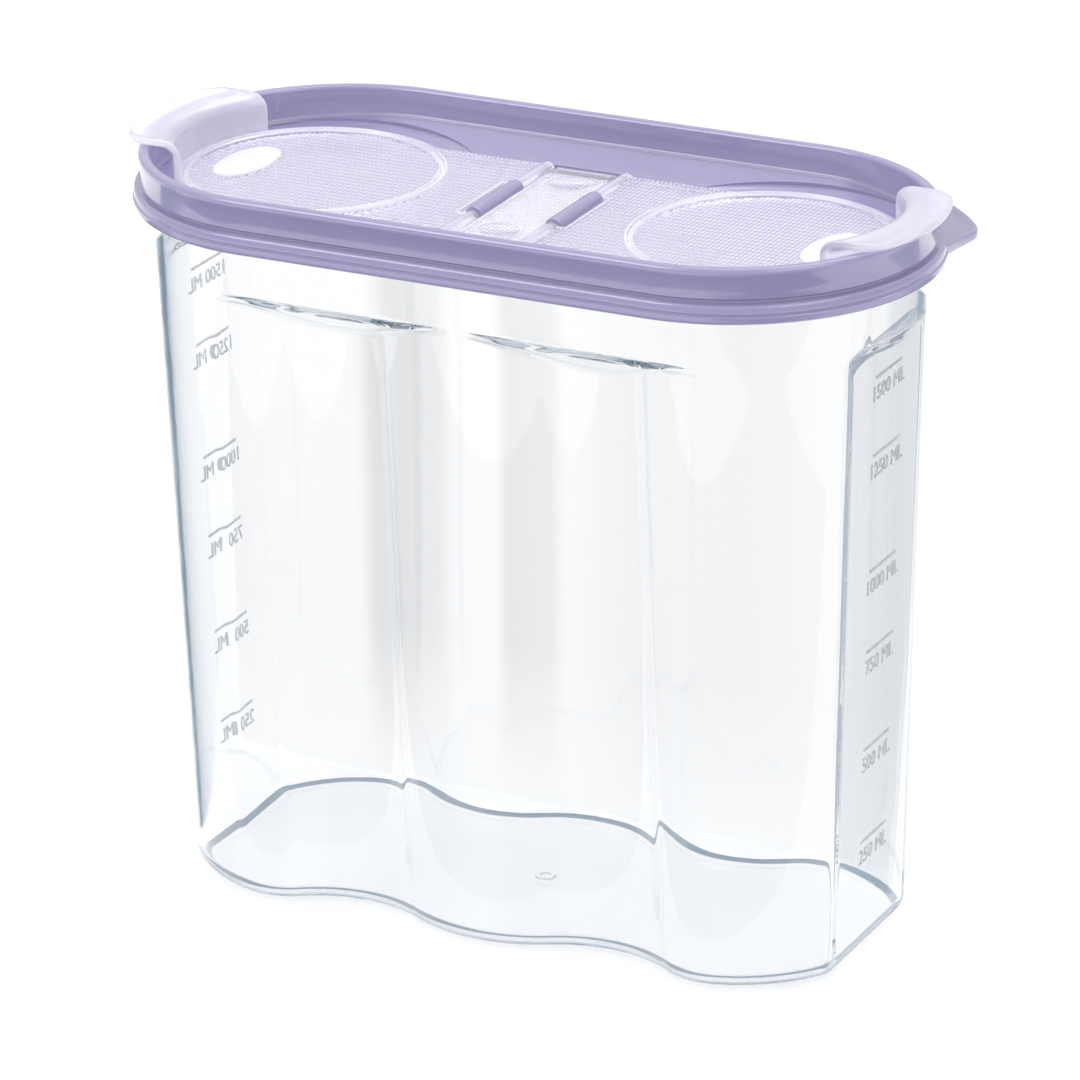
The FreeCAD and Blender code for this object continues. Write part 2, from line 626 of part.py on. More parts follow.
def make_flap(name, half_turn):
    """Clear flap with its pin, knuckles, ring and lift handle, hinged on the right of the strip."""
    body = doc.addObject("PartDesign::Body", name)
    neck = "dims.neck_half_width"
    joint_x = f"dims.flap_x - sqrt(dims.flap_radius ^ 2 - {neck} ^ 2)"

    plate = body_sketch(body, f"{name}_plate", "XY_Plane", "dims.flap_bottom")
    apex = "dims.flap_x + dims.flap_radius"
    add_outline(plate, [("dims.hinge_x", f"-{neck}", None), (joint_x, f"-{neck}", "dims.flap_radius"),
                        (apex, "0", "dims.flap_radius"), (joint_x, neck, None),
                        ("dims.hinge_x", neck, None)])
    pad(body, plate, "dims.flap_thick")

    lug_room = body_sketch(body, f"{name}_lug_room", "XY_Plane", "dims.flap_bottom")
    clear_y = "dims.lug_half_length + dims.lug_gap"
    clear_x = "dims.hinge_x + dims.lug_radius + 2 * dims.lug_gap"
    add_outline(lug_room, [("dims.hinge_x - dims.lug_radius", f"-({clear_y})", None),
                           (clear_x, f"-({clear_y})", None), (clear_x, clear_y, None),
                           ("dims.hinge_x - dims.lug_radius", clear_y, None)])
    pocket(body, lug_room, "4 * dims.flap_thick")

    ring = body_sketch(body, f"{name}_ring", "XY_Plane", "dims.flap_bottom + dims.flap_thick / 2")
    add_circle(ring, "dims.flap_x", "0", "dims.ring_outer", "outer")
    add_circle(ring, "dims.flap_x", "0", "dims.ring_outer - dims.ring_width", "inner")
    pad(body, ring, "dims.ring_height + dims.flap_thick / 2")

    # The XZ plane's normal points to the front, so offsets are minus Y and the pads run to the back.
    for side, offset in (("front", neck), ("back", f"-({clear_y})")):
        knuckle = body_sketch(body, f"{name}_{side}_knuckle", "XZ_Plane", offset)
        add_circle(knuckle, "dims.hinge_x", "dims.hinge_z", "dims.knuckle_radius", "barrel")
        pad(body, knuckle, f"{neck} - ({clear_y})").Reversed = True
    pin = body_sketch(body, f"{name}_pin", "XZ_Plane", neck)
    add_circle(pin, "dims.hinge_x", "dims.hinge_z", "dims.pin_radius", "pin")
    pad(body, pin, f"2 * {neck}").Reversed = True

    add_handle(body, name)
    body.Placement = Placement(Vector(0, 0, 0), Rotation(Vector(0, 0, 1), 180 if half_turn else 0))
    return body


def add_handle(body, name):
    """Lift handle: an upright curved wall that turns outward into a lip over the rim."""
    profile = body_sketch(body, f"{name}_handle_profile", "XZ_Plane", "0")
    wall_out = "dims.flap_x + dims.flap_radius"
    wall_in = f"{wall_out} - dims.handle_wall"
    bend = "dims.lip_bend"
    bend_in = f"({bend} + dims.handle_wall)"
    tip = "dims.flap_x + dims.lip_reach"
    top = "dims.lip_bottom + dims.lip_thick"
    low = "dims.flap_bottom + dims.flap_thick / 2"
    edge = "dims.lip_thick / 3"
    add_outline(profile, [(wall_in, low, None),
                          (wall_out, low, None),
                          (wall_out, f"dims.lip_bottom - {bend}", f"-{bend}"),
                          (f"{wall_out} + {bend}", "dims.lip_bottom", None),
                          (f"{tip} - {edge}", "dims.lip_bottom", edge),
                          (tip, f"dims.lip_bottom + {edge}", None),
                          (tip, f"{top} - {edge}", edge),
                          (f"{tip} - {edge}", top, None),
                          (f"{wall_in} + {bend_in}", top, bend_in),
                          (wall_in, f"{top} - {bend_in}", None)])
    axis = profile.addGeometry(Part.LineSegment(Vector(number("dims.flap_x"), 0, 0),
                                                Vector(number("dims.flap_x"), number(top), 0)), True)
    profile.addConstraint(Sketcher.Constraint("Vertical", axis))
    place(profile, axis, 1, "x", "dims.flap_x", "axis_x")
    place(profile, axis, 1, "y", "0", "")
    place(profile, axis, 2, "y", top, "axis_top")
    turn = body.newObject("PartDesign::Revolution", f"{name}_handle")
    turn.Profile = profile
    turn.ReferenceAxis = (profile, ["Axis0"])
    turn.Midplane = True
    bind(turn, {"Angle": "dims.handle_sweep"})
    ends = body_sketch(body, f"{name}_handle_ends", "XY_Plane", "dims.lip_bottom")
    half = "dims.handle_half_width"
    far = "dims.flap_x + 2 * dims.lip_reach"
    add_rectangle(ends, "front", "dims.flap_x", far, f"-2 * {half}", f"-{half}")
    add_rectangle(ends, "back", "dims.flap_x", far, half, f"2 * {half}")
    pocket(body, ends, "2 * (dims.lip_bottom - dims.flap_bottom - dims.flap_thick - dims.ring_height)")


def add_rectangle(sketch, name, x_low, x_high, y_low, y_high):
    """Rectangle with its sides given as expressions."""
    corners = [(x_low, y_low), (x_high, y_low), (x_high, y_high), (x_low, y_high)]
    points = [Vector(number(x), number(y), 0) for x, y in corners]
    lines = [sketch.addGeometry(Part.LineSegment(points[i], points[(i + 1) % 4])) for i in range(4)]
    for i in range(4):
        sketch.addConstraint(Sketcher.Constraint("Coincident", lines[i], 2, lines[(i + 1) % 4], 1))
    for i, (x, y) in enumerate(corners):
        place(sketch, lines[i], 1, "x", x, f"{name}_x_{i}")
        place(sketch, lines[i], 1, "y", y, f"{name}_y_{i}")


def make_strip():
    """Clear strip fixed across the lid between the two hinges."""
    body = doc.addObject("PartDesign::Body", "centre_strip")
    outline = body_sketch(body, "centre_strip_outline", "XY_Plane", "dims.seat_level")
    half = "dims.strip_half"
    neck = "dims.neck_half_width"
    add_rectangle(outline, "strip", f"-{half}", half, f"-{neck}", neck)
    pad(body, outline, "dims.flap_thick")
    return body


def check_and_write(parts):
    """Check every object and write each sub-part as a STEP file."""
    doc.recompute()
    for item in doc.Objects:
        if "Invalid" in item.State or "Error" in item.State:
            raise RuntimeError(f"{item.Name} failed: {item.State}")
    for part in parts:
        if part.Shape.isNull() or not part.Shape.isValid() or len(part.Shape.Solids) != 1:
            raise RuntimeError(f"{part.Label} is not one valid solid")
    os.makedirs("parts", exist_ok=True)
    for part in parts:
        part.Shape.exportStep(os.path.join("parts", f"{part.Label}.step"))
        print(part.Label, f"{part.Shape.Volume / 1000:.1f} ml of plastic")


container = make_container()
lid_frame = make_lid_frame()
centre_strip = make_strip()
right_flap = make_flap("right_flap", False)
left_flap = make_flap("left_flap", True)
check_and_write([container, lid_frame, centre_strip, left_flap, right_flap])
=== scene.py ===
"""Looks of the cereal dispenser: clear fluted tub, lavender lid frame and clear pour flaps.

Shape sizes are in millimetres and turned into metres when a mesh is made.
"""

import json
import math

import bmesh
import bpy
import numpy as np
from mathutils import Matrix, Vector


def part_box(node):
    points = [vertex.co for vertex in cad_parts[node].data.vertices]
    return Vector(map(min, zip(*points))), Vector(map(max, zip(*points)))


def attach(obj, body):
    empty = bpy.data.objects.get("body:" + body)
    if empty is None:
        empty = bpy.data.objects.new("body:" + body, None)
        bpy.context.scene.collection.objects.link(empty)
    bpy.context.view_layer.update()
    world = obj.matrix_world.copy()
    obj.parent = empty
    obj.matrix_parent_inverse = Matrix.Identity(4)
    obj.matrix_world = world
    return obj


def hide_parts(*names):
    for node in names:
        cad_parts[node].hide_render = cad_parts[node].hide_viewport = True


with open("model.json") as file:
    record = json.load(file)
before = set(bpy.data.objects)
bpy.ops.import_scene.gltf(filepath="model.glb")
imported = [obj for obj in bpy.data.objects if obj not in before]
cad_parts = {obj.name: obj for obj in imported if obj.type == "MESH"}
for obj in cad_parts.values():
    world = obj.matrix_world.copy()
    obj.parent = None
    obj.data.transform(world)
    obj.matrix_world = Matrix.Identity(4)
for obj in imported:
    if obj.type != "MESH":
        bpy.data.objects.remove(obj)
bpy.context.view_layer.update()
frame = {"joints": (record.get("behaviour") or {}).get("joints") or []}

MM = 0.001


def in_mm(corners):
    """Two corners in metres as arrays in millimetres."""
    return [np.array(corner) / MM for corner in corners]


# ---------------------------------------------------------------- anchors

tub_low, tub_high = in_mm(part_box("container"))
lid_low, lid_high = in_mm(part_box("lid_frame"))
strip_low, strip_high = in_mm(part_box("centre_strip"))
_, flap_high = in_mm(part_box("right_flap"))
joints = {joint["name"]: joint for joint in frame["joints"]}
hinge_x, _, hinge_z = (value / MM for value in joints["right_flap_hinge"]["pos_m"])

END_X = tub_high[0] - tub_high[1]          # centre of each round end of the plan
RIM_TOP = lid_high[2]
PLUG_BOTTOM = lid_low[2]
LIP_REACH = 42.0                           # outer radius of a handle's lip about its flap
FLAP_X = flap_high[0] - LIP_REACH          # centre of a flap's round end
FLAP_RADIUS = flap_high[1]
LIP_TOP = flap_high[2]
SEAT_LEVEL = strip_low[2]
FLAP_BOTTOM = SEAT_LEVEL + 0.3
FLAP_TOP = FLAP_BOTTOM + 1.3


# ---------------------------------------------------------------- mesh helpers

def make_object(name, points, faces):
    """Object from points in millimetres, its faces turned outward."""
    mesh = bpy.data.meshes.new(name)
    mesh.from_pydata((np.asarray(points, float) * MM).tolist(), [], faces)
    shell = bmesh.new()
    shell.from_mesh(mesh)
    bmesh.ops.recalc_face_normals(shell, faces=shell.faces)
    shell.to_mesh(mesh)
    shell.free()
    made = bpy.data.objects.new(name, mesh)
    bpy.context.scene.collection.objects.link(made)
    return made


def grid_faces(rows, columns, wrap):
    """Quads between rings of points, and from the last ring to the first when wrap is set."""
    faces = []
    for row in range(rows if wrap else rows - 1):
        low = row * columns
        high = (row + 1) % rows * columns
        for i in range(columns):
            j = (i + 1) % columns
            faces.append((low + i, low + j, high + j, high + i))
    return faces


def stack(name, rings, wrap=False):
    """Solid through rings of equal length: capped at both ends, or closed on itself."""
    columns = len(rings[0])
    faces = grid_faces(len(rings), columns, wrap)
    if not wrap:
        last = (len(rings) - 1) * columns
        faces.append(tuple(range(columns - 1, -1, -1)))
        faces.append(tuple(range(last, last + columns)))
    return make_object(name, np.concatenate(rings), faces)


def combine(base, operation, tools):
    """Union, difference or intersection of a solid with others, which are used up."""
    for tool in tools:
        modifier = base.modifiers.new(tool.name, "BOOLEAN")
        modifier.operation = operation
        modifier.object = tool
        modifier.solver = "MANIFOLD"
    graph = bpy.context.evaluated_depsgraph_get()
    mesh = bpy.data.meshes.new_from_object(base.evaluated_get(graph))
    base.modifiers.clear()
    base.data = mesh
    for tool in tools:
        bpy.data.objects.remove(tool)


def shade(piece, sharp_angle):
    """Smooth shading, with edges steeper than an angle in degrees kept sharp."""
    piece.data.shade_smooth()
    piece.data.set_sharp_from_angle(angle=math.radians(sharp_angle))


def finish_piece(piece, material, body, node=None, sharp_angle=35):
    """Give a piece its material, record slot and body, and let it stand for a CAD node."""
    shade(piece, sharp_angle)
    piece.data.materials.clear()
    piece.data.materials.append(material)
    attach(piece, body)
    if node:
        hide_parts(node)


def at_level(outline, z):
    """Flat ring of points from an outline."""
    return np.column_stack([outline, np.full(len(outline), z)])


def slot_outline(radius, steps=72):
    """Slot outline about the two end centres, anticlockwise."""
    turn = np.linspace(-math.pi / 2, math.pi / 2, steps + 1)
    right = np.column_stack([END_X + radius * np.cos(turn), radius * np.sin(turn)])
    return np.concatenate([right, -right])


def circle_outline(x, radius, steps=128, y=0.0, stretch=1.0):
    """Circle, or an ellipse stretched along Y."""
    turn = np.linspace(0, 2 * math.pi, steps, endpoint=False)
    return np.column_stack([x + radius * np.cos(turn), y + radius * stretch * np.sin(turn)])


def box_outline(x_low, x_high, y_low, y_high):
    """Rectangle, anticlockwise."""
    return np.array([(x_low, y_low), (x_high, y_low), (x_high, y_high), (x_low, y_high)], float)


def box(name, x_low, x_high, y_low, y_high, z_low, z_high):
    """Plain block, used to cut or to fill."""
    outline = box_outline(x_low, x_high, y_low, y_high)
    return stack(name, [at_level(outline, z_low), at_level(outline, z_high)])


def profile_stack(name, outline, profile, wrap=False):
    """Solid whose outline at each step of a profile is outline(size) at height z."""
    return stack(name, [at_level(outline(size), z) for size, z in profile], wrap)


def quarter(center, z, radius, start, end, steps=6):
    """Arc of a profile as (size, height) pairs; angles are in degrees from outward to up."""
    turn = np.radians(np.linspace(start, end, steps + 1))
    return [(center + radius * math.cos(a), z + radius * math.sin(a)) for a in turn]


def along_y(name, section, stations):
    """Solid with an XZ section along Y; each station is (y, scale about the section's middle)."""
    section = np.array(section, float)
    middle = section.mean(axis=0)
    rings = []
    for y, scale in stations:
        flat = middle + (section - middle) * scale
        rings.append(np.column_stack([flat[:, 0], np.full(len(flat), y), flat[:, 1]]))
    return stack(name, rings)


def along_x(name, section, x_low, x_high):
    """Solid with a YZ section between two X positions."""
    section = np.array(section, float)
    rings = [np.column_stack([np.full(len(section), x), section]) for x in (x_low, x_high)]
    return stack(name, rings)


def rod(name, x, radius, y_low, y_high, soft=0.2):
    """Round bar along Y on a hinge axis, its ends slightly rounded."""
    turn = np.linspace(0, 2 * math.pi, 32, endpoint=False)
    section = np.column_stack([x + radius * np.cos(turn), hinge_z + radius * np.sin(turn)])
    small = 1 - soft / radius
    stations = [(y_low, small), (y_low + soft, 1), (y_high - soft, 1), (y_high, small)]
    return along_y(name, section, stations)


# ---------------------------------------------------------------- tub

WALL = 1.8
FLOOR = 2.0
WALL_SLOPE = 0.028
HALF_WIDTH = 38.0
FLUTE_X = 31.4
FLUTE_DEPTH = 8.0
FLUTE_RADIUS = 28.0
LOBE_RADIUS = 16.8
LEDGE_TOP = 150.0
LEDGE_SLOPE = 0.75
PANEL_X = 82.7
PANEL_LEAN = 0.031
PANEL_HALF = 22.0
PANEL_TOP = 150.0
PANEL_CORNER = 9.0
PANEL_STEP = 1.7                           # width of the sloping step round a panel
FLOOR_FILLET = 5.0
TUB_TOP = tub_high[2]


def soft_min(a, b, reach):
    """Smaller of two values, with a rounded change from one to the other."""
    reach = np.maximum(reach, 1e-6)
    share = np.clip(0.5 + 0.5 * (b - a) / reach, 0, 1)
    return b * (1 - share) + a * share - reach * share * (1 - share)


def soft_max(a, b, reach):
    """Larger of two values, with a rounded change from one to the other."""
    return -soft_min(-a, -b, reach)


def unit(vector):
    """Vector of length one."""
    return vector / np.linalg.norm(vector)


def lobe_geometry():
    """Centres of a flute and of the side lobe that touches it and the round end."""
    flute = np.array([FLUTE_X, HALF_WIDTH - FLUTE_DEPTH + FLUTE_RADIUS])
    end = np.array([END_X, 0.0])
    span = np.linalg.norm(flute - end)
    to_end = HALF_WIDTH - LOBE_RADIUS
    to_flute = FLUTE_RADIUS + LOBE_RADIUS
    along = (to_end ** 2 - to_flute ** 2 + span ** 2) / (2 * span)
    across = math.sqrt(to_end ** 2 - along ** 2)
    direction = unit(flute - end)
    lobe = end + direction * along + np.array([direction[1], -direction[0]]) * across
    return flute, lobe


def tub_columns():
    """Directions of the tub's columns: foot on the centre line and unit vector outward."""
    turn = np.linspace(-math.pi / 2, math.pi / 2, 161)
    right = [(END_X, 0.0, math.cos(a), math.sin(a)) for a in turn]
    along = np.linspace(END_X, -END_X, 135)[1:-1]
    back = [(x, 0.0, 0.0, 1.0) for x in along]
    half = np.array(right + back)
    return np.concatenate([half, -half])


def fluted_reach(columns, grow):
    """Distance of the fluted wall from the centre line along each column."""
    flute, lobe = lobe_geometry()
    crest = HALF_WIDTH + grow
    middle_radius = (FLUTE_X ** 2 + FLUTE_DEPTH ** 2) / (2 * FLUTE_DEPTH) - FLUTE_RADIUS
    middle = np.array([0.0, HALF_WIDTH - middle_radius])
    flute_radius = FLUTE_RADIUS - grow
    lobe_radius = LOBE_RADIUS + grow
    into_flute = flute + unit(middle - flute) * flute_radius
    out_of_flute = flute + unit(lobe - flute) * flute_radius

    x = np.abs(columns[:, 0])
    straight = np.abs(columns[:, 3]) > 0.999999
    over_middle = middle[1] + np.sqrt(np.maximum((middle_radius + grow) ** 2 - x ** 2, 0))
    over_flute = flute[1] - np.sqrt(np.maximum(flute_radius ** 2 - (x - flute[0]) ** 2, 0))
    over_lobe = lobe[1] + np.sqrt(np.maximum(lobe_radius ** 2 - (x - lobe[0]) ** 2, 0))
    beside_middle = np.where(x < out_of_flute[0], over_flute, over_lobe)
    reach = np.where(x < into_flute[0], over_middle, beside_middle)

    ray = np.column_stack([np.abs(columns[:, 2]), np.abs(columns[:, 3])])
    offset = lobe - np.array([END_X, 0.0])
    toward = ray @ offset
    through_lobe = toward + np.sqrt(np.maximum(lobe_radius ** 2 - offset @ offset + toward ** 2, 0))
    in_lobe = np.arctan2(ray[:, 1], ray[:, 0]) > math.atan2(offset[1], offset[0])
    return np.where(straight, reach, np.where(in_lobe, through_lobe, crest))


def tub_ring(columns, z, inset, fillet_inset):
    """Ring of points on the tub's outer face, or on a face a wall's thickness inside it."""
    grow = WALL_SLOPE * z - inset - fillet_inset
    full = np.full(len(columns), HALF_WIDTH + grow)
    fluted = np.minimum(fluted_reach(columns, grow), full)
    depth = full - fluted
    across = np.abs(columns[:, 3])
    collar = HALF_WIDTH + WALL_SLOPE * LEDGE_TOP
    valley = LEDGE_TOP - LEDGE_SLOPE * collar + math.hypot(1, LEDGE_SLOPE) * inset
    ledge = (z - valley) / LEDGE_SLOPE / np.maximum(across, 0.2)
    soft = np.minimum(1.1, 0.5 * depth)
    reach = soft_min(full, soft_max(fluted, ledge, soft), soft)

    forward = np.abs(columns[:, 2])
    panel = PANEL_X + PANEL_LEAN * z - inset - fillet_inset - END_X
    flat = soft_min(reach, panel / np.maximum(forward, 0.05), 0.5)
    y = reach * columns[:, 3]
    beyond = np.abs(y) - (PANEL_HALF - PANEL_CORNER)
    above = z - (PANEL_TOP - PANEL_CORNER)
    outside = np.hypot(np.maximum(beyond, 0), max(above, 0)) + np.minimum(np.maximum(beyond, above), 0)
    within = np.clip((PANEL_CORNER + inset - outside) / PANEL_STEP, 0, 1)
    share = within ** 2 * (3 - 2 * within)
    reach = reach + (flat - reach) * share * (forward > 0.05)
    points = columns[:, :2] + columns[:, 2:] * reach[:, None]
    return at_level(points, z)


def tub_levels(low, radius):
    """Heights of the tub's rings, each with how far the floor's rounding draws it inward."""
    turn = np.radians(np.linspace(0, 90, 11))
    levels = [(low + radius * (1 - math.cos(a)), radius * (1 - math.sin(a))) for a in turn]
    tall = np.concatenate([np.arange(low + radius + 6, 120, 8), np.arange(120, 140, 1.0),
                           np.arange(140, 152, 0.3), [156, 160, TUB_TOP]])
    return levels + [(z, 0.0) for z in tall]


def make_tub(material):
    """Clear tub with flutes, sloping ledges, flat end panels and a rounded floor."""
    columns = tub_columns()
    outer = [tub_ring(columns, z, 0, e) for z, e in tub_levels(0, FLOOR_FILLET)]
    inner = [tub_ring(columns, z, WALL, e) for z, e in tub_levels(FLOOR, FLOOR_FILLET - WALL)]
    edge = 0.3
    lip_out = tub_ring(columns, TUB_TOP, edge, 0)
    lip_in = tub_ring(columns, TUB_TOP, WALL - edge, 0)
    outer[-1] = tub_ring(columns, TUB_TOP - edge, 0, 0)
    inner[-1] = tub_ring(columns, TUB_TOP - edge, WALL, 0)
    tub = stack("tub_body", outer + [lip_out, lip_in] + inner[::-1])
    nub = profile_stack("gate_mark", lambda r: circle_outline(0.0, r, 32),
                        [(2.6, FLOOR - 0.5), (2.6, FLOOR + 0.1), (2.2, FLOOR + 0.45), (1.4, FLOOR + 0.5),
                         (1.0, FLOOR + 0.15), (0.5, FLOOR + 0.1)])
    combine(tub, "UNION", [nub])
    finish_piece(tub, material, "tub", "container")


# ---------------------------------------------------------------- graduations

MARKS = ((1500, 141.7), (1250, 123.2), (1000, 95.4), (750, 75.9), (500, 51.9), (250, 29.0))
MARK_RAISE = 0.15
MARK_LINE = 0.7
MARK_HALF_LENGTH = 7.0
MARK_SINK = 0.05                           # how far a line reaches into its panel
FONT_SIZE = 3.6 * 1.38                     # for capitals 3.6 high
FONT_SOFT = 0.04
TEXT_DROP = 1.5                            # from the middle of a line to the top of its lettering


def make_text(name, words):
    """Raised lettering in the XY plane, centred, its top edge on the X axis, in millimetres."""
    curve = bpy.data.curves.new(name, "FONT")
    curve.body = words
    curve.size = FONT_SIZE
    curve.extrude = MARK_RAISE
    curve.bevel_depth = FONT_SOFT
    curve.align_x = "CENTER"
    curve.align_y = "TOP"
    curve.resolution_u = 4
    made = bpy.data.objects.new(name, curve)
    bpy.context.scene.collection.objects.link(made)
    graph = bpy.context.evaluated_depsgraph_get()
    mesh = bpy.data.meshes.new_from_object(made.evaluated_get(graph))
    bpy.data.objects.remove(made)
    piece = bpy.data.objects.new(name, mesh)
    bpy.context.scene.collection.objects.link(piece)
    return piece


def make_marks(material):
    """Raised volume marks on both end panels, to be read from outside."""
    lean = math.atan(PANEL_LEAN)
    for side, sign in (("right", 1), ("left", -1)):
        for volume, z in MARKS:
            foot = Vector((sign * (PANEL_X + PANEL_LEAN * z), 0, z)) * MM
            up = Vector((sign * math.sin(lean), 0, math.cos(lean)))
            along = Vector((0, sign, 0))
            facing = along.cross(up)
            to_panel = Matrix((along, up, facing)).transposed().to_4x4()
            to_panel.translation = foot
            line = box(f"mark_{side}_{volume}", -MARK_HALF_LENGTH, MARK_HALF_LENGTH,
                       -MARK_LINE / 2, MARK_LINE / 2, -MARK_SINK, MARK_RAISE)
            words = make_text(f"words_{side}_{volume}", f"{volume} ML")
            to_metres = Matrix.Diagonal((MM, MM, MM, 1))
            words.data.transform(to_metres @ Matrix.Translation((0, -TEXT_DROP, 0)))
            for piece in (line, words):
                piece.data.transform(to_panel)
                finish_piece(piece, material, "tub")


# ---------------------------------------------------------------- lid frame

RIM_RADIUS = 45.0
RIM_INNER = 42.6
SKIRT_RADIUS = 46.8
SKIRT_BOTTOM = 162.7
SKIRT_TOP = 167.1
CHANNEL_OUTER = 43.3
CHANNEL_INNER = 39.8
CHANNEL_TOP = 166.2
PLUG_INNER = 37.8
DECK_EDGE = 168.2
DECK_INNER = 167.3
DECK_UNDERSIDE = 164.6
ANNULUS_RADIUS = 38.0
ANNULUS_LEVEL = 166.8
SEAT_LAP = 2.8
POUR_HALF_WIDTH = 22.5
NECK = 26.7
GAP = 0.4
BAR_TOP = 164.4
BAR_HALF = 2.35
KNUCKLE = 1.7
PIN = 1.2
BORE = 1.27
LUG_RADIUS = 2.35
LUG_HALF = 10.5
LUG_GAP = 0.4
TAB_ANGLE = 47.0
TAB_REACH = 54.5
TAB_HALF = 15.5
TAB_CORNER = 6.0
TAB_FLARE = 36.0
TAB_ROOT = 36.0
TAB_BOTTOM = 163.6
TAB_TOP = 165.8
TAB_STEPS = [(0.6, TAB_BOTTOM), (0.2, TAB_BOTTOM + 0.2), (0.05, TAB_BOTTOM + 0.6),
             (0.05, TAB_TOP - 0.5), (0.2, TAB_TOP - 0.15), (0.5, TAB_TOP), (0.9, TAB_TOP),
             (1.4, TAB_TOP - 0.3), (2.2, TAB_TOP - 0.6), (3.2, TAB_TOP - 0.7)]
NECK_ROOM = NECK + GAP
RIM_SOFT = 0.9                             # rounding inside the rim's top
ABOVE = RIM_TOP + 2
BELOW = PLUG_BOTTOM - 2


def rim_profile():
    """Outer side of the lid from the skirt's rounded foot to the beaded top of the rim."""
    foot = quarter(SKIRT_RADIUS - 0.9, SKIRT_BOTTOM + 0.9, 0.9, -90, 0)
    step = [(SKIRT_RADIUS, 164.4), (SKIRT_RADIUS - 0.4, 164.7), (SKIRT_RADIUS - 0.45, 165.0),
            (SKIRT_RADIUS - 0.2, 165.3), (SKIRT_RADIUS - 0.25, 166.2)]
    shoulder = quarter(SKIRT_RADIUS - 1.1, SKIRT_TOP - 0.8, 0.8, 0, 90)
    root = [(RIM_RADIUS, SKIRT_TOP - 0.1), (RIM_RADIUS - 0.45, SKIRT_TOP + 0.1),
            (RIM_RADIUS - 0.5, SKIRT_TOP + 0.6), (RIM_RADIUS, SKIRT_TOP + 1.1)]
    bead = [(RIM_RADIUS, RIM_TOP - 2.3), (RIM_RADIUS + 0.25, RIM_TOP - 1.9)]
    top = quarter(RIM_RADIUS - 0.7, RIM_TOP - 1.0, 1.0, 0, 90)
    return foot + step + shoulder + root + bead + top


def discs_and_neck(name, radii, neck, low):
    """Space shaped like both flaps, above a level; radii are (radius, height) steps."""
    pieces = [profile_stack(f"{name}_{sign}", lambda r, s=sign: circle_outline(s * FLAP_X, r), radii)
              for sign in (1, -1)]
    pieces.append(box(f"{name}_neck", -FLAP_X, FLAP_X, -neck, neck, low, ABOVE))
    return pieces


def tab_outline(inset, steps=24):
    """Outline of the flared pull tab, at the lid's back right corner."""
    reach = TAB_REACH - inset
    corner = TAB_CORNER - inset
    corner_y = TAB_HALF - TAB_CORNER
    corner_x = math.sqrt((TAB_REACH - TAB_CORNER) ** 2 - corner_y ** 2)
    swing = math.atan2(corner_y, corner_x)
    flare = math.radians(TAB_FLARE)
    flank_x = corner_x + corner * math.sin(flare)
    flank_y = corner_y + corner * math.cos(flare)
    root_y = flank_y + (flank_x - TAB_ROOT) * math.tan(flare)
    points = [(TAB_ROOT, -root_y)]
    for a in np.linspace(flare - math.pi / 2, -swing, 9):
        points.append((corner_x + corner * math.cos(a), -corner_y + corner * math.sin(a)))
    for a in np.linspace(-swing, swing, steps + 1)[1:-1]:
        points.append((reach * math.cos(a), reach * math.sin(a)))
    for a in np.linspace(swing, math.pi / 2 - flare, 9):
        points.append((corner_x + corner * math.cos(a), corner_y + corner * math.sin(a)))
    points.append((TAB_ROOT, root_y))
    angle = math.radians(TAB_ANGLE)
    turn = np.array([(math.cos(angle), math.sin(angle)), (-math.sin(angle), math.cos(angle))])
    return np.array(points) @ turn + (END_X, 0)


def make_lug(name, x):
    """Rounded hinge lug standing on its cross bar."""
    arch = [(x + LUG_RADIUS * math.cos(a), hinge_z + LUG_RADIUS * math.sin(a))
            for a in np.radians(np.linspace(0, 180, 25))]
    section = [(x + LUG_RADIUS, PLUG_BOTTOM + 0.5)] + arch + [(x - LUG_RADIUS, PLUG_BOTTOM + 0.5)]
    stations = [(-LUG_HALF, 0.86), (-LUG_HALF + 0.25, 0.94), (-LUG_HALF + 0.8, 1),
                (LUG_HALF - 0.8, 1), (LUG_HALF - 0.25, 0.94), (LUG_HALF, 0.86)]
    return along_y(name, section, stations)


def deck_height(y):
    """Height of the deck, which slopes down to the flaps' necks."""
    slope = (DECK_EDGE - DECK_INNER) / (RIM_INNER - NECK - GAP)
    return DECK_INNER + slope * np.maximum(np.abs(y) - NECK - GAP, 0)


def well_space(name):
    """Space inside the rim's wall, wider at its rounded top."""
    middle = RIM_INNER + RIM_SOFT
    top = quarter(middle, RIM_TOP - RIM_SOFT, RIM_SOFT, 0, 90)
    well = [(RIM_INNER, BELOW)] + [(2 * middle - size, z) for size, z in top]
    well.append((well[-1][0], ABOVE))
    return profile_stack(name, slot_outline, well)


def deck_space():
    """Space over the deck, which slopes on both sides of the flaps."""
    far = RIM_INNER + 2
    roof = [(-far, deck_height(far)), (-NECK_ROOM, DECK_INNER), (NECK_ROOM, DECK_INNER),
            (far, deck_height(far)), (far, ABOVE), (-far, ABOVE)]
    space = along_x("over_deck", roof, -2 * END_X, 2 * END_X)
    combine(space, "INTERSECT", [well_space("well_a")])
    return space


def recess_space():
    """Space of the shallow recess round both flaps."""
    disc = [(ANNULUS_RADIUS - 0.5, ANNULUS_LEVEL), (ANNULUS_RADIUS, ANNULUS_LEVEL + 0.3),
            (ANNULUS_RADIUS + 0.3, ABOVE)]
    space, *others = discs_and_neck("recess", disc, NECK_ROOM, ANNULUS_LEVEL)
    combine(space, "UNION", others)
    combine(space, "INTERSECT", [well_space("well_b")])
    return space


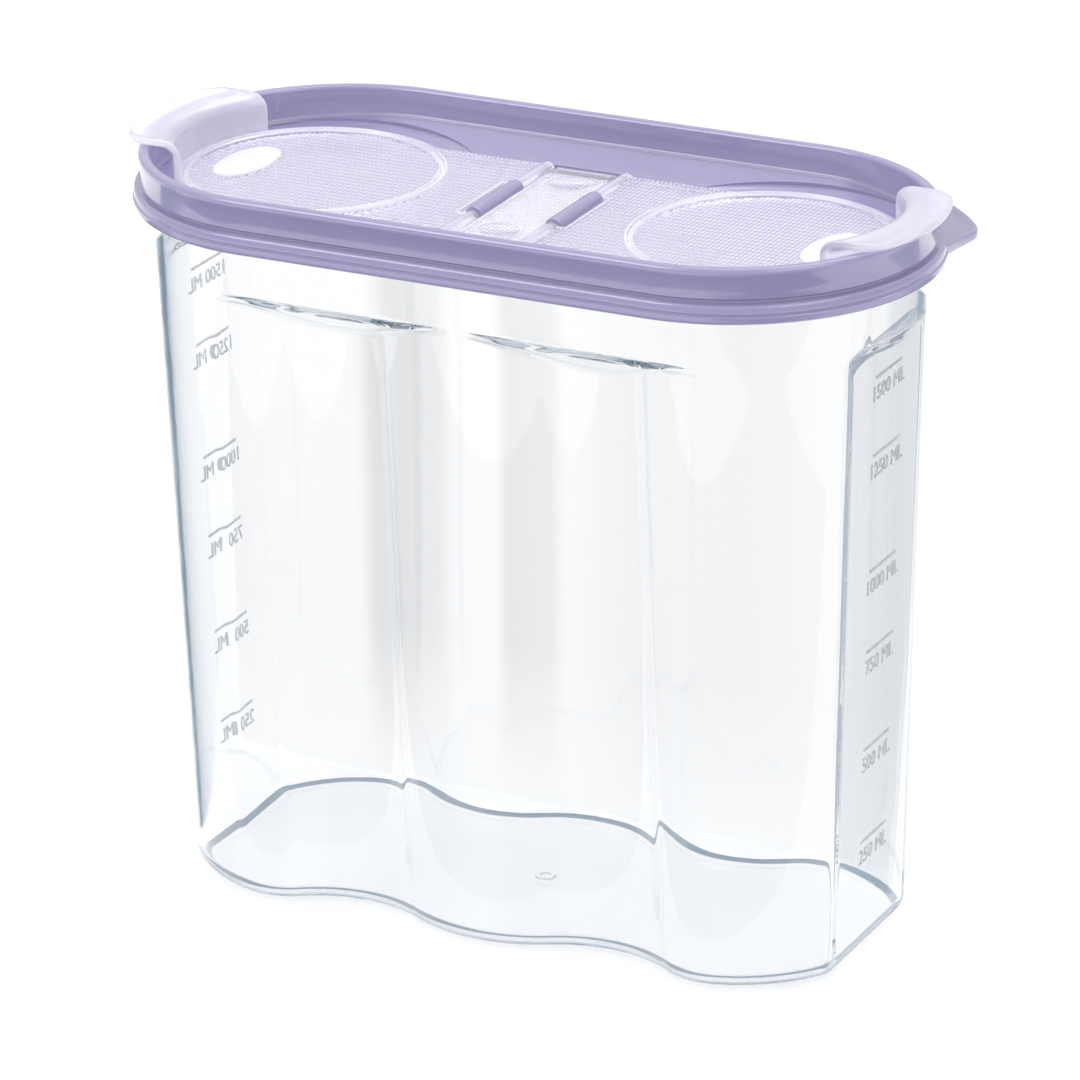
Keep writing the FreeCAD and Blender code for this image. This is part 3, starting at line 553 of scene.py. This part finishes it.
def seat_spaces():
    """Spaces the closed flaps lie in."""
    radius = FLAP_RADIUS + GAP
    disc = [(radius, SEAT_LEVEL), (radius, ANNULUS_LEVEL - 0.3),
            (radius + 0.35, ANNULUS_LEVEL), (radius + 0.35, ABOVE)]
    return discs_and_neck("seat", disc, NECK_ROOM, SEAT_LEVEL)


def skirt_spaces():
    """Channel for the tub's rim, and the hollow inside the plug."""
    section = [(CHANNEL_INNER, BELOW), (CHANNEL_OUTER, BELOW),
               (CHANNEL_OUTER, CHANNEL_TOP), (CHANNEL_INNER, CHANNEL_TOP)]
    channel = profile_stack("channel", slot_outline, section, wrap=True)
    under = profile_stack("under", slot_outline, [(PLUG_INNER, BELOW), (PLUG_INNER, DECK_UNDERSIDE)])
    return [channel, under]


def pour_holes():
    """Pour openings, round on the left and straight-sided on the right, and the gap between them."""
    hole = FLAP_RADIUS - SEAT_LAP
    steps = [(hole, BELOW), (hole, SEAT_LEVEL - 0.2), (hole + 0.2, SEAT_LEVEL), (hole + 0.2, ABOVE)]
    left_hole = profile_stack("left_hole", lambda r: circle_outline(-FLAP_X, r), steps)
    right_hole = profile_stack("right_hole", lambda r: circle_outline(FLAP_X, r), steps)
    band = box("right_band", 0, 2 * FLAP_X, -POUR_HALF_WIDTH, POUR_HALF_WIDTH, BELOW, ABOVE)
    combine(right_hole, "INTERSECT", [band])
    half = NECK - SEAT_LAP
    end = FLAP_X - math.sqrt(hole ** 2 - half ** 2)
    return [left_hole, right_hole, box("neck_hole", -end, end, -half, half, BELOW, ABOVE)]


def hinge_notches():
    """Room in the seat ledges for the flaps' knuckles."""
    notch = KNUCKLE + GAP
    return [box(f"notch_{sign}", sign * hinge_x - notch, sign * hinge_x + notch, -NECK_ROOM, NECK_ROOM,
                BAR_TOP, ABOVE) for sign in (1, -1)]


def rim_foot():
    """Light fillet along the foot of the rim's inner wall."""
    side = deck_height(slot_outline(RIM_INNER)[:, 1])
    rings = []
    for size, rise in ((RIM_INNER + 0.3, -0.4), (RIM_INNER + 0.3, 0.75), (RIM_INNER, 0.6),
                       (RIM_INNER - 0.2, 0.28), (RIM_INNER - 0.6, 0.06), (RIM_INNER - 0.9, -0.4)):
        rings.append(np.column_stack([slot_outline(size), side + rise]))
    return stack("rim_foot", rings, wrap=True)


def make_lid(material):
    """Lavender frame: beaded rim, skirt, plug, deck with recesses and seats, bars, lugs and tab."""
    lid = profile_stack("lid_ring", slot_outline, rim_profile())
    plug = profile_stack("lid_plug", slot_outline, [(CHANNEL_INNER - 0.3, PLUG_BOTTOM),
                                                    (CHANNEL_INNER, PLUG_BOTTOM + 0.3),
                                                    (CHANNEL_INNER, CHANNEL_TOP + 0.2)])
    combine(lid, "UNION", [plug, profile_stack("pull_tab", tab_outline, TAB_STEPS)])
    combine(lid, "DIFFERENCE", [deck_space(), recess_space(), *seat_spaces(), *skirt_spaces(),
                                *pour_holes(), *hinge_notches()])
    additions = [rim_foot()]
    bores = []
    reach = CHANNEL_INNER - 1.0
    for sign in (1, -1):
        x = sign * hinge_x
        additions.append(box(f"bar_{sign}", x - BAR_HALF, x + BAR_HALF, -reach, reach,
                             PLUG_BOTTOM, BAR_TOP))
        additions.append(make_lug(f"lug_{sign}", x))
        bores.append(rod(f"bore_{sign}", x, BORE, -LUG_HALF - 1, LUG_HALF + 1))
    combine(lid, "UNION", additions)
    combine(lid, "DIFFERENCE", bores)
    finish_piece(lid, material, "lid", "lid_frame")


# ---------------------------------------------------------------- flaps and strip

PITCH = (1.1, 2.1)                         # of the pyramid pattern along X and Y
RELIEF = 0.3                               # height of the pyramids
RING_OUTER = 30.6
HANDLE_HALF = 20.4
HANDLE_WALL = 1.5
LIP_THICK = 1.8
LIP_BEND = 2.2


def pyramid_slab(name, x_low, x_high, y_low, y_high, top):
    """Block with a field of small pyramids on top, whose sides lie on multiples of the pitch."""
    step_x, step_y = PITCH
    x_low = step_x * math.floor(x_low / step_x)
    y_low = step_y * math.floor(y_low / step_y)
    nx = math.ceil((x_high - x_low) / step_x)
    ny = math.ceil((y_high - y_low) / step_y)
    points = []
    faces = []
    for j in range(ny + 1):
        for i in range(nx + 1):
            points.append((x_low + i * step_x, y_low + j * step_y, top - RELIEF))
    peaks = len(points)
    for j in range(ny):
        for i in range(nx):
            points.append((x_low + (i + 0.5) * step_x, y_low + (j + 0.5) * step_y, top))
            peak = peaks + j * nx + i
            a = j * (nx + 1) + i
            b = a + nx + 1
            faces += [(a, a + 1, peak), (a + 1, b + 1, peak), (b + 1, b, peak), (b, a, peak)]
    rim = list(range(nx + 1))
    rim += [j * (nx + 1) + nx for j in range(1, ny + 1)]
    rim += [ny * (nx + 1) + i for i in range(nx - 1, -1, -1)]
    rim += [j * (nx + 1) for j in range(ny - 1, 0, -1)]
    floor = len(points)
    points += [(points[i][0], points[i][1], top - 4) for i in rim]
    for k, i in enumerate(rim):
        following = (k + 1) % len(rim)
        faces.append((floor + k, floor + following, rim[following], i))
    faces.append(tuple(range(floor + len(rim) - 1, floor - 1, -1)))
    return make_object(name, points, faces)


def flap_outline(inset, steps=96):
    """Outline of a flap's plate: neck with room for the hinge lug, and round end."""
    radius = FLAP_RADIUS - inset
    neck = NECK - inset
    start = math.pi - math.asin(neck / radius)
    turn = np.linspace(-start, start, steps + 1)
    arc = np.column_stack([FLAP_X + radius * np.cos(turn), radius * np.sin(turn)])
    room_y = LUG_HALF + LUG_GAP + inset
    room_x = hinge_x + LUG_RADIUS + 2 * LUG_GAP + inset
    low = [(hinge_x, -room_y), (hinge_x, -neck)]
    high = [(hinge_x, neck), (hinge_x, room_y), (room_x, room_y), (room_x, -room_y)]
    return np.concatenate([low, arc, high])


def circle_ring(name, x, steps):
    """Ring about a flap's centre with a cross-section of (radius, height) steps."""
    return profile_stack(name, lambda r: circle_outline(x, r), steps, wrap=True)


def handle_section():
    """Section of a handle as (radius, height): upright wall, bend and lip."""
    wall_in = FLAP_RADIUS - HANDLE_WALL
    lip_bottom = LIP_TOP - LIP_THICK
    bend_x = FLAP_RADIUS + LIP_BEND
    inside = [(bend_x - LIP_BEND * math.cos(a), lip_bottom - LIP_BEND + LIP_BEND * math.sin(a))
              for a in np.radians(np.linspace(0, 90, 9))]
    edge = LIP_THICK / 2
    tip = [(LIP_REACH - edge + edge * math.cos(a), lip_bottom + edge + edge * math.sin(a))
           for a in np.radians(np.linspace(-90, 90, 13))]
    big = LIP_BEND + HANDLE_WALL
    outside = [(wall_in + big - big * math.cos(a), LIP_TOP - big + big * math.sin(a))
               for a in np.radians(np.linspace(90, 0, 13))]
    return np.array([(wall_in, FLAP_TOP - 0.6), (FLAP_RADIUS, FLAP_TOP - 0.6)] + inside + tip + outside)


def make_handle(name):
    """Curved lift handle, cut off square at both sides with softened ends and corners."""
    section = handle_section()
    ahead = np.roll(section, -1, axis=0) - np.roll(section, 1, axis=0)
    inward = np.column_stack([-ahead[:, 1], ahead[:, 0]]) / np.linalg.norm(ahead, axis=1)[:, None]
    soft = 0.5
    corner = 4.0
    bends = np.radians(np.linspace(90, 0, 7))
    ends = [(HANDLE_HALF - soft + soft * math.cos(a), soft * (1 - math.sin(a))) for a in bends[::-1]]
    inner = [(y, 0.0) for y in np.linspace(0, HANDLE_HALF - soft, 24)[:-1]]
    half = inner + ends[::-1]
    stations = [(-y, draw) for y, draw in half[::-1]] + half[1:]
    rings = []
    for y, draw in stations:
        radius, height = (section + inward * draw).T
        past = max(abs(y) - (HANDLE_HALF - corner), 0) / corner
        limit = LIP_REACH - corner * (1 - math.sqrt(max(1 - past ** 2, 0)))
        lip = radius > FLAP_RADIUS + LIP_BEND
        shrink = (limit - FLAP_RADIUS - LIP_BEND) / (LIP_REACH - FLAP_RADIUS - LIP_BEND)
        radius[lip] = FLAP_RADIUS + LIP_BEND + (radius[lip] - FLAP_RADIUS - LIP_BEND) * shrink
        x = FLAP_X + np.sqrt(np.maximum(radius ** 2 - y ** 2, 0))
        rings.append(np.column_stack([x, np.full(len(x), y), height]))
    return stack(name, rings)


def make_flap(name, material, body, node, half_turn):
    """Clear flap: patterned plate, plain edge, double ring, oval pad, knuckles, pin and handle."""
    plate = profile_stack(name, flap_outline, [(0.3, FLAP_BOTTOM), (0.0, FLAP_BOTTOM + 0.3),
                                               (0.0, FLAP_TOP - 0.25), (0.25, FLAP_TOP)])
    slab = pyramid_slab("slab", hinge_x - 1, FLAP_X + FLAP_RADIUS + 1, -FLAP_RADIUS - 1,
                        FLAP_RADIUS + 1, FLAP_TOP)
    combine(plate, "INTERSECT", [slab])
    low = FLAP_BOTTOM + 0.4
    border = profile_stack("border", flap_outline, [(0.05, low), (0.05, FLAP_TOP - 0.25),
                                                    (0.25, FLAP_TOP), (0.8, FLAP_TOP),
                                                    (1.0, FLAP_TOP - 0.2), (1.0, low)], wrap=True)
    ring_top = FLAP_TOP + 0.8
    ring = circle_ring("ring", FLAP_X, [
        (RING_OUTER, low), (RING_OUTER, ring_top - 0.35), (RING_OUTER - 0.12, ring_top - 0.1),
        (RING_OUTER - 0.35, ring_top), (RING_OUTER - 0.65, ring_top),
        (RING_OUTER - 0.9, ring_top - 0.25),
        (RING_OUTER - 1.05, FLAP_TOP + 0.1), (RING_OUTER - 1.35, FLAP_TOP + 0.1),
        (RING_OUTER - 1.5, ring_top - 0.35), (RING_OUTER - 1.75, ring_top - 0.15),
        (RING_OUTER - 2.0, ring_top - 0.15), (RING_OUTER - 2.25, ring_top - 0.35),
        (RING_OUTER - 2.35, low)])
    pad_x = FLAP_X + 17.4
    pad = profile_stack("pad", lambda r: circle_outline(pad_x, r, 72, stretch=1.9),
                        [(6.2, low), (6.2, FLAP_TOP - 0.02), (6.0, FLAP_TOP + 0.06),
                         (5.5, FLAP_TOP + 0.1)])
    room = LUG_HALF + LUG_GAP
    bars = [rod("knuckle_front", hinge_x, KNUCKLE, -NECK, -room),
            rod("knuckle_back", hinge_x, KNUCKLE, room, NECK),
            rod("pin", hinge_x, PIN, -NECK + 1, NECK - 1)]
    combine(plate, "UNION", [border, ring, pad, *bars, make_handle("handle")])
    if half_turn:
        plate.data.transform(Matrix.Rotation(math.pi, 4, "Z"))
    finish_piece(plate, material, body, node, sharp_angle=28)


def make_strip(material):
    """Clear patterned strip between the hinges, with a smooth oval near each end."""
    half = strip_high[0]
    reach = strip_high[1]
    low, high = strip_low[2], strip_high[2]

    def outline(inset):
        """Outline of the strip."""
        return box_outline(-half + inset, half - inset, -reach + inset, reach - inset)

    strip = profile_stack("strip", outline, [(0.2, low), (0.0, low + 0.2),
                                             (0.0, high - 0.2), (0.2, high)])
    combine(strip, "INTERSECT", [pyramid_slab("strip_slab", -half - 0.5, half + 0.5, -reach - 0.5,
                                              reach + 0.5, high)])
    parts = [profile_stack("strip_edge", outline, [(0.05, low + 0.3), (0.05, high - 0.2), (0.2, high),
                                                   (0.7, high), (0.9, high - 0.2), (0.9, low + 0.3)],
                           wrap=True)]
    for sign in (1, -1):
        parts.append(profile_stack(f"strip_pad_{sign}",
                                   lambda r, s=sign: circle_outline(0.0, r, 48, s * 17.5, 0.9),
                                   [(4.9, low + 0.3), (4.9, high - 0.06), (4.7, high)]))
    combine(strip, "UNION", parts)
    finish_piece(strip, material, "lid", "centre_strip", sharp_angle=28)


# ---------------------------------------------------------------- materials

# Painted shade on the clear flaps and strip: darker lavender along the creases between the pyramids
GRID_CREASE_SHADE = (0.52, 0.48, 0.72)             # colour of the lines between the pyramids
PLASTIC_IOR = 1.49
DEEPEST = 9.0                              # bounces after which clear plastic lets light straight on


def new_material(name):
    """Material with an emptied node tree, and a helper that adds nodes to it."""
    material = bpy.data.materials.new(name)
    material.use_nodes = True
    tree = material.node_tree
    tree.nodes.clear()

    def add(kind, **inputs):
        """New node with its inputs set."""
        node = tree.nodes.new(kind)
        for key, value in inputs.items():
            node.inputs[key.replace("_", " ")].default_value = value
        return node

    return material, tree, add


def vary(tree, add, scale, low, high, detail=3.0):
    """Noise spread between two values."""
    place = add("ShaderNodeTexCoord")
    noise = add("ShaderNodeTexNoise", Scale=scale, Detail=detail)
    spread = add("ShaderNodeMapRange", From_Min=0.3, From_Max=0.7, To_Min=low, To_Max=high)
    tree.links.new(place.outputs["Object"], noise.inputs["Vector"])
    tree.links.new(noise.outputs["Fac"], spread.inputs["Value"])
    return spread.outputs["Result"]


def two_tone(tree, add, share, first, second):
    """Colour that runs from one to another as a share rises."""
    ramp = add("ShaderNodeValToRGB")
    ramp.color_ramp.elements[0].color = (*first, 1)
    ramp.color_ramp.elements[1].color = (*second, 1)
    tree.links.new(share, ramp.inputs["Fac"])
    return ramp.outputs["Color"]


def cover(tree, add, shader, depth=None):
    """Give a material its surface, and what fills it when that is set."""
    output = add("ShaderNodeOutputMaterial")
    tree.links.new(shader.outputs[0], output.inputs["Surface"])
    if depth:
        tree.links.new(depth.outputs[0], output.inputs["Volume"])


def painted_crease_shade(tree, add, tint, top):
    """Tint with painted shade: darker lines along the creases between the pyramids, at the height of
    their tops.
    """
    place = add("ShaderNodeTexCoord")
    split = add("ShaderNodeSeparateXYZ")
    tree.links.new(place.outputs["Object"], split.inputs["Vector"])
    nearest = add("ShaderNodeMath")
    nearest.operation = "MINIMUM"
    for axis in (0, 1):
        fold = add("ShaderNodeMath")
        fold.operation = "PINGPONG"
        fold.inputs[1].default_value = PITCH[axis] * MM / 2
        tree.links.new(split.outputs[axis], fold.inputs[0])
        tree.links.new(fold.outputs[0], nearest.inputs[axis])
    line = add("ShaderNodeMapRange", From_Min=0.10 * MM, From_Max=0.22 * MM, To_Min=1.0, To_Max=0.0)
    tree.links.new(nearest.outputs[0], line.inputs["Value"])
    near_top = add("ShaderNodeMath")
    near_top.operation = "COMPARE"
    near_top.inputs[1].default_value = (top - RELIEF / 2) * MM
    near_top.inputs[2].default_value = (RELIEF / 2 + 0.04) * MM
    tree.links.new(split.outputs["Z"], near_top.inputs[0])
    share = add("ShaderNodeMath")
    share.operation = "MULTIPLY"
    tree.links.new(line.outputs["Result"], share.inputs[0])
    tree.links.new(near_top.outputs[0], share.inputs[1])
    return two_tone(tree, add, share.outputs[0], tint, GRID_CREASE_SHADE)


def clear_plastic(name, tint, clarity, roughness, absorb=None, density=0.0, grid_top=None):
    """Clear or milky moulded plastic that lets lamp light through."""
    material, tree, add = new_material(name)
    surface = add("ShaderNodeBsdfPrincipled", Base_Color=(*tint, 1), IOR=PLASTIC_IOR,
                  Transmission_Weight=clarity)
    rough = vary(tree, add, 35.0, roughness * 0.6, roughness * 1.6)
    tree.links.new(rough, surface.inputs["Roughness"])
    bump = add("ShaderNodeBump", Strength=0.05, Distance=0.0004)
    tree.links.new(vary(tree, add, 55.0, 0.0, 1.0, 2.0), bump.inputs["Height"])
    tree.links.new(bump.outputs["Normal"], surface.inputs["Normal"])
    # With grid_top set, the base colour gets painted shade along the creases between the pyramids
    if grid_top:
        tree.links.new(painted_crease_shade(tree, add, tint, grid_top), surface.inputs["Base Color"])
    open_to_lamps = add("ShaderNodeBsdfTransparent", Color=(0.97, 0.975, 0.98, 1))
    rays = add("ShaderNodeLightPath")
    deep = add("ShaderNodeMath")
    deep.operation = "GREATER_THAN"
    deep.inputs[1].default_value = DEEPEST
    through = add("ShaderNodeMixShader")
    mix = add("ShaderNodeMixShader")
    tree.links.new(rays.outputs["Ray Depth"], deep.inputs[0])
    tree.links.new(deep.outputs[0], through.inputs[0])
    tree.links.new(surface.outputs[0], through.inputs[1])
    tree.links.new(open_to_lamps.outputs[0], through.inputs[2])
    tree.links.new(rays.outputs["Is Shadow Ray"], mix.inputs[0])
    tree.links.new(through.outputs[0], mix.inputs[1])
    tree.links.new(open_to_lamps.outputs[0], mix.inputs[2])
    inside = add("ShaderNodeVolumeAbsorption", Color=(*absorb, 1), Density=density) if absorb else None
    cover(tree, add, mix, inside)
    return material


def lavender_plastic():
    """Semi-gloss lavender plastic with a little depth and a faint moulded texture."""
    material, tree, add = new_material("lavender_plastic")
    surface = add("ShaderNodeBsdfPrincipled", IOR=PLASTIC_IOR, Subsurface_Weight=0.12,
                  Subsurface_Scale=0.002, Subsurface_Radius=(1.0, 0.9, 1.2), Coat_Weight=1.0,
                  Coat_Roughness=0.04, Specular_IOR_Level=0.8)
    patches = vary(tree, add, 18.0, 0.0, 1.0)
    color = two_tone(tree, add, patches, (0.280, 0.250, 0.435), (0.300, 0.270, 0.460))
    tree.links.new(color, surface.inputs["Base Color"])
    tree.links.new(vary(tree, add, 90.0, 0.16, 0.26), surface.inputs["Roughness"])
    bump = add("ShaderNodeBump", Strength=0.08, Distance=0.0003)
    tree.links.new(vary(tree, add, 900.0, 0.0, 1.0, 2.0), bump.inputs["Height"])
    tree.links.new(bump.outputs["Normal"], surface.inputs["Normal"])
    cover(tree, add, surface)
    return material


def mark_plastic():
    """Frosted grey-white of the raised marks."""
    material, tree, add = new_material("mark_plastic")
    surface = add("ShaderNodeBsdfPrincipled", IOR=PLASTIC_IOR, Transmission_Weight=0.7)
    patches = vary(tree, add, 400.0, 0.0, 1.0)
    color = two_tone(tree, add, patches, (0.80, 0.81, 0.83), (0.88, 0.89, 0.91))
    tree.links.new(color, surface.inputs["Base Color"])
    tree.links.new(vary(tree, add, 200.0, 0.45, 0.65), surface.inputs["Roughness"])
    cover(tree, add, surface)
    return material


# ---------------------------------------------------------------- studio

CAMERA_AZIMUTH = math.radians(27.2527)
CAMERA_ELEVATION = math.radians(21.7749)
CAMERA_ROLL = math.radians(-0.962)
CAMERA_DISTANCE = 1.4874
CAMERA_LENS = 216.67
CAMERA_AIM = Vector((0.28, -0.55, tub_high[2] - 79.27)) * MM
FLOOR_DROP = 0.2                           # of the floor below the tub's foot
FLOOR_HALF = 6000.0
# Painted contact shade under the tub's foot: a dark glowing ring on the floor
PAINTED_FOOT_SHADE = (2.5, -1.0)                    # its two edges, as distances inside the tub's wall
PAINTED_FOOT_SHADE_LOW = -0.15
PAINTED_FOOT_SHADE_HIGH = -0.1
CARD_FOOT = (1.05, 1.05, 1.05)             # colour a card fades to at its foot
FIRST_COLOR = 6                            # sockets of a colour mix
SECOND_COLOR = 7
MIXED_COLOR = 2
BOUNCES = 16
CLEAR_BOUNCES = 24

# Colours across each card, as (share of the width, colour)
# STREAKS: painted grey streaks, seen through the fluted tub
STREAKS = [(share, (level, level, level)) for share, level in (
    (0.0, 1.02), (0.20, 1.02), (0.245, 0.80), (0.30, 0.88), (0.33, 1.03), (0.375, 1.03), (0.40, 0.85),
    (0.45, 0.88), (0.48, 1.02), (0.55, 0.97), (0.70, 0.95), (0.835, 1.0), (0.90, 0.90), (1.0, 1.0))]
# STEEL and MIST: painted dark and lighter edges of the clear plastic, seen in and through it
STEEL = [(0.0, (0.42, 0.49, 0.57)), (1.0, (0.20, 0.28, 0.36))]
MIST = [(0.0, (0.36, 0.43, 0.51)), (1.0, (0.50, 0.56, 0.63))]
# DUSK: painted dark reflections in the glossy parts
DUSK = [(0.0, (0.10, 0.12, 0.16)), (1.0, (0.10, 0.12, 0.16))]

# Name, position in metres, size and power of each lamp
LAMP_AIM = (0, 0, 0.1)
LAMPS = (("key", (-0.7, -0.9, 1.3), 0.9, 8),
         ("fill", (1.1, -0.5, 1.0), 0.8, 3.5),
         ("top", (0.1, 0.6, 1.4), 1.0, 4.5))


def make_floor():
    """Pale floor with faint random patches."""
    material, tree, add = new_material("studio_floor")
    surface = add("ShaderNodeBsdfPrincipled", Roughness=0.9, Specular_IOR_Level=0.1)
    patches = vary(tree, add, 2.0, 0.0, 1.0)
    color = two_tone(tree, add, patches, (0.90, 0.90, 0.90), (0.92, 0.92, 0.92))
    tree.links.new(color, surface.inputs["Base Color"])
    cover(tree, add, surface)
    outline = box_outline(-FLOOR_HALF, FLOOR_HALF, -FLOOR_HALF, FLOOR_HALF)
    floor = make_object("studio_floor", at_level(outline, tub_low[2] - FLOOR_DROP), [(0, 1, 2, 3)])
    floor.data.materials.append(material)


def hide_from_view(card):
    """Keep a stage piece out of direct view, of diffuse light and of shadows."""
    card.visible_camera = False
    card.visible_diffuse = False
    card.visible_shadow = False


def make_card(name, stops, size, place, turn, through_plastic, in_mirrors, fade_height=0.01):
    """Glowing card that shows only in or through plastic, as painted reflections and refractions.

    size is its width and height and place its lower middle, in millimetres; turn is its
    rotation. stops are (share of the width, colour), and they fade to white below fade_height.
    """
    material, tree, add = new_material(name)
    glow = add("ShaderNodeEmission", Strength=1.0)
    coordinates = add("ShaderNodeTexCoord")
    split = add("ShaderNodeSeparateXYZ")
    half = size[0] / 2
    spread = add("ShaderNodeMapRange", From_Min=-half * MM, From_Max=half * MM)
    ramp = add("ShaderNodeValToRGB")
    ramp.color_ramp.interpolation = "EASE"
    while len(ramp.color_ramp.elements) < len(stops):
        ramp.color_ramp.elements.new(0.5)
    for element, (position, color) in zip(ramp.color_ramp.elements, stops):
        element.position = position
        element.color = (*color, 1)
    tree.links.new(coordinates.outputs["Object"], split.inputs["Vector"])
    tree.links.new(split.outputs["X"], spread.inputs["Value"])
    tree.links.new(spread.outputs["Result"], ramp.inputs["Fac"])
    fade = add("ShaderNodeMapRange", From_Min=0.0, From_Max=fade_height * MM)
    foot = add("ShaderNodeMix")
    foot.data_type = "RGBA"
    foot.inputs[FIRST_COLOR].default_value = (*CARD_FOOT, 1)
    tree.links.new(split.outputs["Z"], fade.inputs["Value"])
    tree.links.new(fade.outputs["Result"], foot.inputs[0])
    tree.links.new(ramp.outputs["Color"], foot.inputs[SECOND_COLOR])
    tree.links.new(foot.outputs[MIXED_COLOR], glow.inputs["Color"])
    cover(tree, add, glow)
    card = make_object(name, [(-half, 0, 0), (half, 0, 0), (half, 0, size[1]), (-half, 0, size[1])],
                       [(0, 1, 2, 3)])
    card.data.materials.append(material)
    card.matrix_world = Matrix.Translation(Vector(place) * MM) @ turn
    hide_from_view(card)
    card.visible_transmission = through_plastic
    card.visible_glossy = in_mirrors


def beside(across, behind):
    """Point on the floor, by its distance to the camera's right and past the object."""
    right = Vector((math.cos(CAMERA_AZIMUTH), math.sin(CAMERA_AZIMUTH), 0))
    away = Vector((-math.sin(CAMERA_AZIMUTH), math.cos(CAMERA_AZIMUTH), 0))
    return right * across + away * behind


def make_painted_foot_shade():
    """Painted contact shade: a dark glowing line on the floor under the tub's rounded foot, seen only
    through or in plastic.
    """
    material, tree, add = new_material("painted_foot_shade")
    glow = add("ShaderNodeEmission", Strength=1.0)
    patches = vary(tree, add, 20.0, 0.0, 1.0)
    # Colour of the painted shade: dark steel blue in random patches
    color = two_tone(tree, add, patches, (0.26, 0.33, 0.41), (0.34, 0.41, 0.49))
    tree.links.new(color, glow.inputs["Color"])
    cover(tree, add, glow)
    columns = tub_columns()
    near, far = [tub_ring(columns, 0.0, 0.0, inset)[:, :2] for inset in PAINTED_FOOT_SHADE]
    line = stack("painted_foot_shade", [at_level(near, PAINTED_FOOT_SHADE_LOW), at_level(far, PAINTED_FOOT_SHADE_LOW),
                               at_level(far, PAINTED_FOOT_SHADE_HIGH), at_level(near, PAINTED_FOOT_SHADE_HIGH)], wrap=True)
    line.data.materials.append(material)
    hide_from_view(line)


def make_lamp(name, position, size, power):
    """Soft square lamp."""
    lamp = bpy.data.lights.new(name, "AREA")
    lamp.size = size
    lamp.energy = power
    made = bpy.data.objects.new(name, lamp)
    bpy.context.scene.collection.objects.link(made)
    made.location = position
    made.rotation_euler = (Vector(LAMP_AIM) - Vector(position)).to_track_quat("-Z", "Y").to_euler()


def make_world():
    """Bright surroundings, darker blue-grey towards the horizon."""
    world = bpy.data.worlds.new("studio")
    world.use_nodes = True
    tree = world.node_tree
    tree.nodes.clear()
    place = tree.nodes.new("ShaderNodeTexCoord")
    split = tree.nodes.new("ShaderNodeSeparateXYZ")
    ramp = tree.nodes.new("ShaderNodeValToRGB")
    ramp.color_ramp.elements[0].position = 0.02
    ramp.color_ramp.elements[0].color = (0.62, 0.64, 0.70, 1)
    ramp.color_ramp.elements[1].position = 0.5
    ramp.color_ramp.elements[1].color = (1.0, 1.0, 1.0, 1)
    back = tree.nodes.new("ShaderNodeBackground")
    back.inputs["Strength"].default_value = 0.9
    output = tree.nodes.new("ShaderNodeOutputWorld")
    tree.links.new(place.outputs["Generated"], split.inputs["Vector"])
    tree.links.new(split.outputs["Z"], ramp.inputs["Fac"])
    tree.links.new(ramp.outputs["Color"], back.inputs["Color"])
    tree.links.new(back.outputs[0], output.inputs["Surface"])
    bpy.context.scene.world = world


def make_camera():
    """Camera at the object's front right, looking down a little."""
    back = Vector((math.sin(CAMERA_AZIMUTH) * math.cos(CAMERA_ELEVATION),
                   -math.cos(CAMERA_AZIMUTH) * math.cos(CAMERA_ELEVATION), math.sin(CAMERA_ELEVATION)))
    right = Vector((math.cos(CAMERA_AZIMUTH), math.sin(CAMERA_AZIMUTH), 0))
    up = back.cross(right)
    tilted = right * math.cos(CAMERA_ROLL) + up * math.sin(CAMERA_ROLL)
    upright = up * math.cos(CAMERA_ROLL) - right * math.sin(CAMERA_ROLL)
    camera = bpy.data.cameras.new("camera")
    camera.sensor_width = 36
    camera.lens = CAMERA_LENS
    camera.clip_end = 100
    made = bpy.data.objects.new("camera", camera)
    bpy.context.scene.collection.objects.link(made)
    made.matrix_world = Matrix((tilted, upright, back)).transposed().to_4x4()
    made.location = CAMERA_AIM + back * CAMERA_DISTANCE
    bpy.context.scene.camera = made


# ---------------------------------------------------------------- scene

clear_tub = clear_plastic("clear_tub_plastic", (0.985, 0.99, 0.995), 1.0, 0.015,
                          absorb=(0.48, 0.55, 0.61), density=13.0)
clear_flap = clear_plastic("clear_flap_plastic", (0.95, 0.94, 1.0), 0.72, 0.04, grid_top=FLAP_TOP)

make_tub(clear_tub)
make_marks(mark_plastic())
make_lid(lavender_plastic())
make_flap("flap_right", clear_flap, "right_flap", "right_flap", False)
make_flap("flap_left", clear_flap, "left_flap", "left_flap", True)
make_strip(clear_flap)

make_floor()
facing = Matrix.Rotation(CAMERA_AZIMUTH, 4, "Z")
lying = Matrix.Rotation(math.pi / 2, 4, "X")
crosswise = Matrix.Rotation(math.radians(40), 4, "Z")
leaning = Matrix.Rotation(math.radians(-1.6), 4, "X")
# Painted refraction: streaked card behind the tub, seen only through plastic
make_card("card_behind", STREAKS, (200, 150), (-10, 41, 0.5), leaning,
          through_plastic=True, in_mirrors=False, fade_height=40)
# Painted reflections and refractions: steel blue card at the left, grey card at the right
make_card("card_left", STEEL, (110, 150), beside(-146, 30), facing,
          through_plastic=True, in_mirrors=True)
make_card("card_right", MIST, (110, 150), beside(146, -17), facing,
          through_plastic=True, in_mirrors=True)
# Painted reflections: dark cards lying on the floor in front, seen only in mirrors
make_card("card_low", DUSK, (700, 250), (0, -60, 0.4), lying,
          through_plastic=False, in_mirrors=True)
make_card("card_corner", DUSK, (460, 190), (300, -275, 0.6), crosswise @ lying,
          through_plastic=False, in_mirrors=True)
# Painted contact shade under the tub's foot
make_painted_foot_shade()
for lamp_name, lamp_position, lamp_size, lamp_power in LAMPS:
    make_lamp(lamp_name, lamp_position, lamp_size, lamp_power)
make_world()
make_camera()

view = bpy.context.scene.view_settings
view.view_transform = "Standard"
view.look = "None"
cycles = bpy.context.scene.cycles
cycles.max_bounces = BOUNCES
cycles.transmission_bounces = BOUNCES
cycles.glossy_bounces = BOUNCES
cycles.transparent_max_bounces = CLEAR_BOUNCES
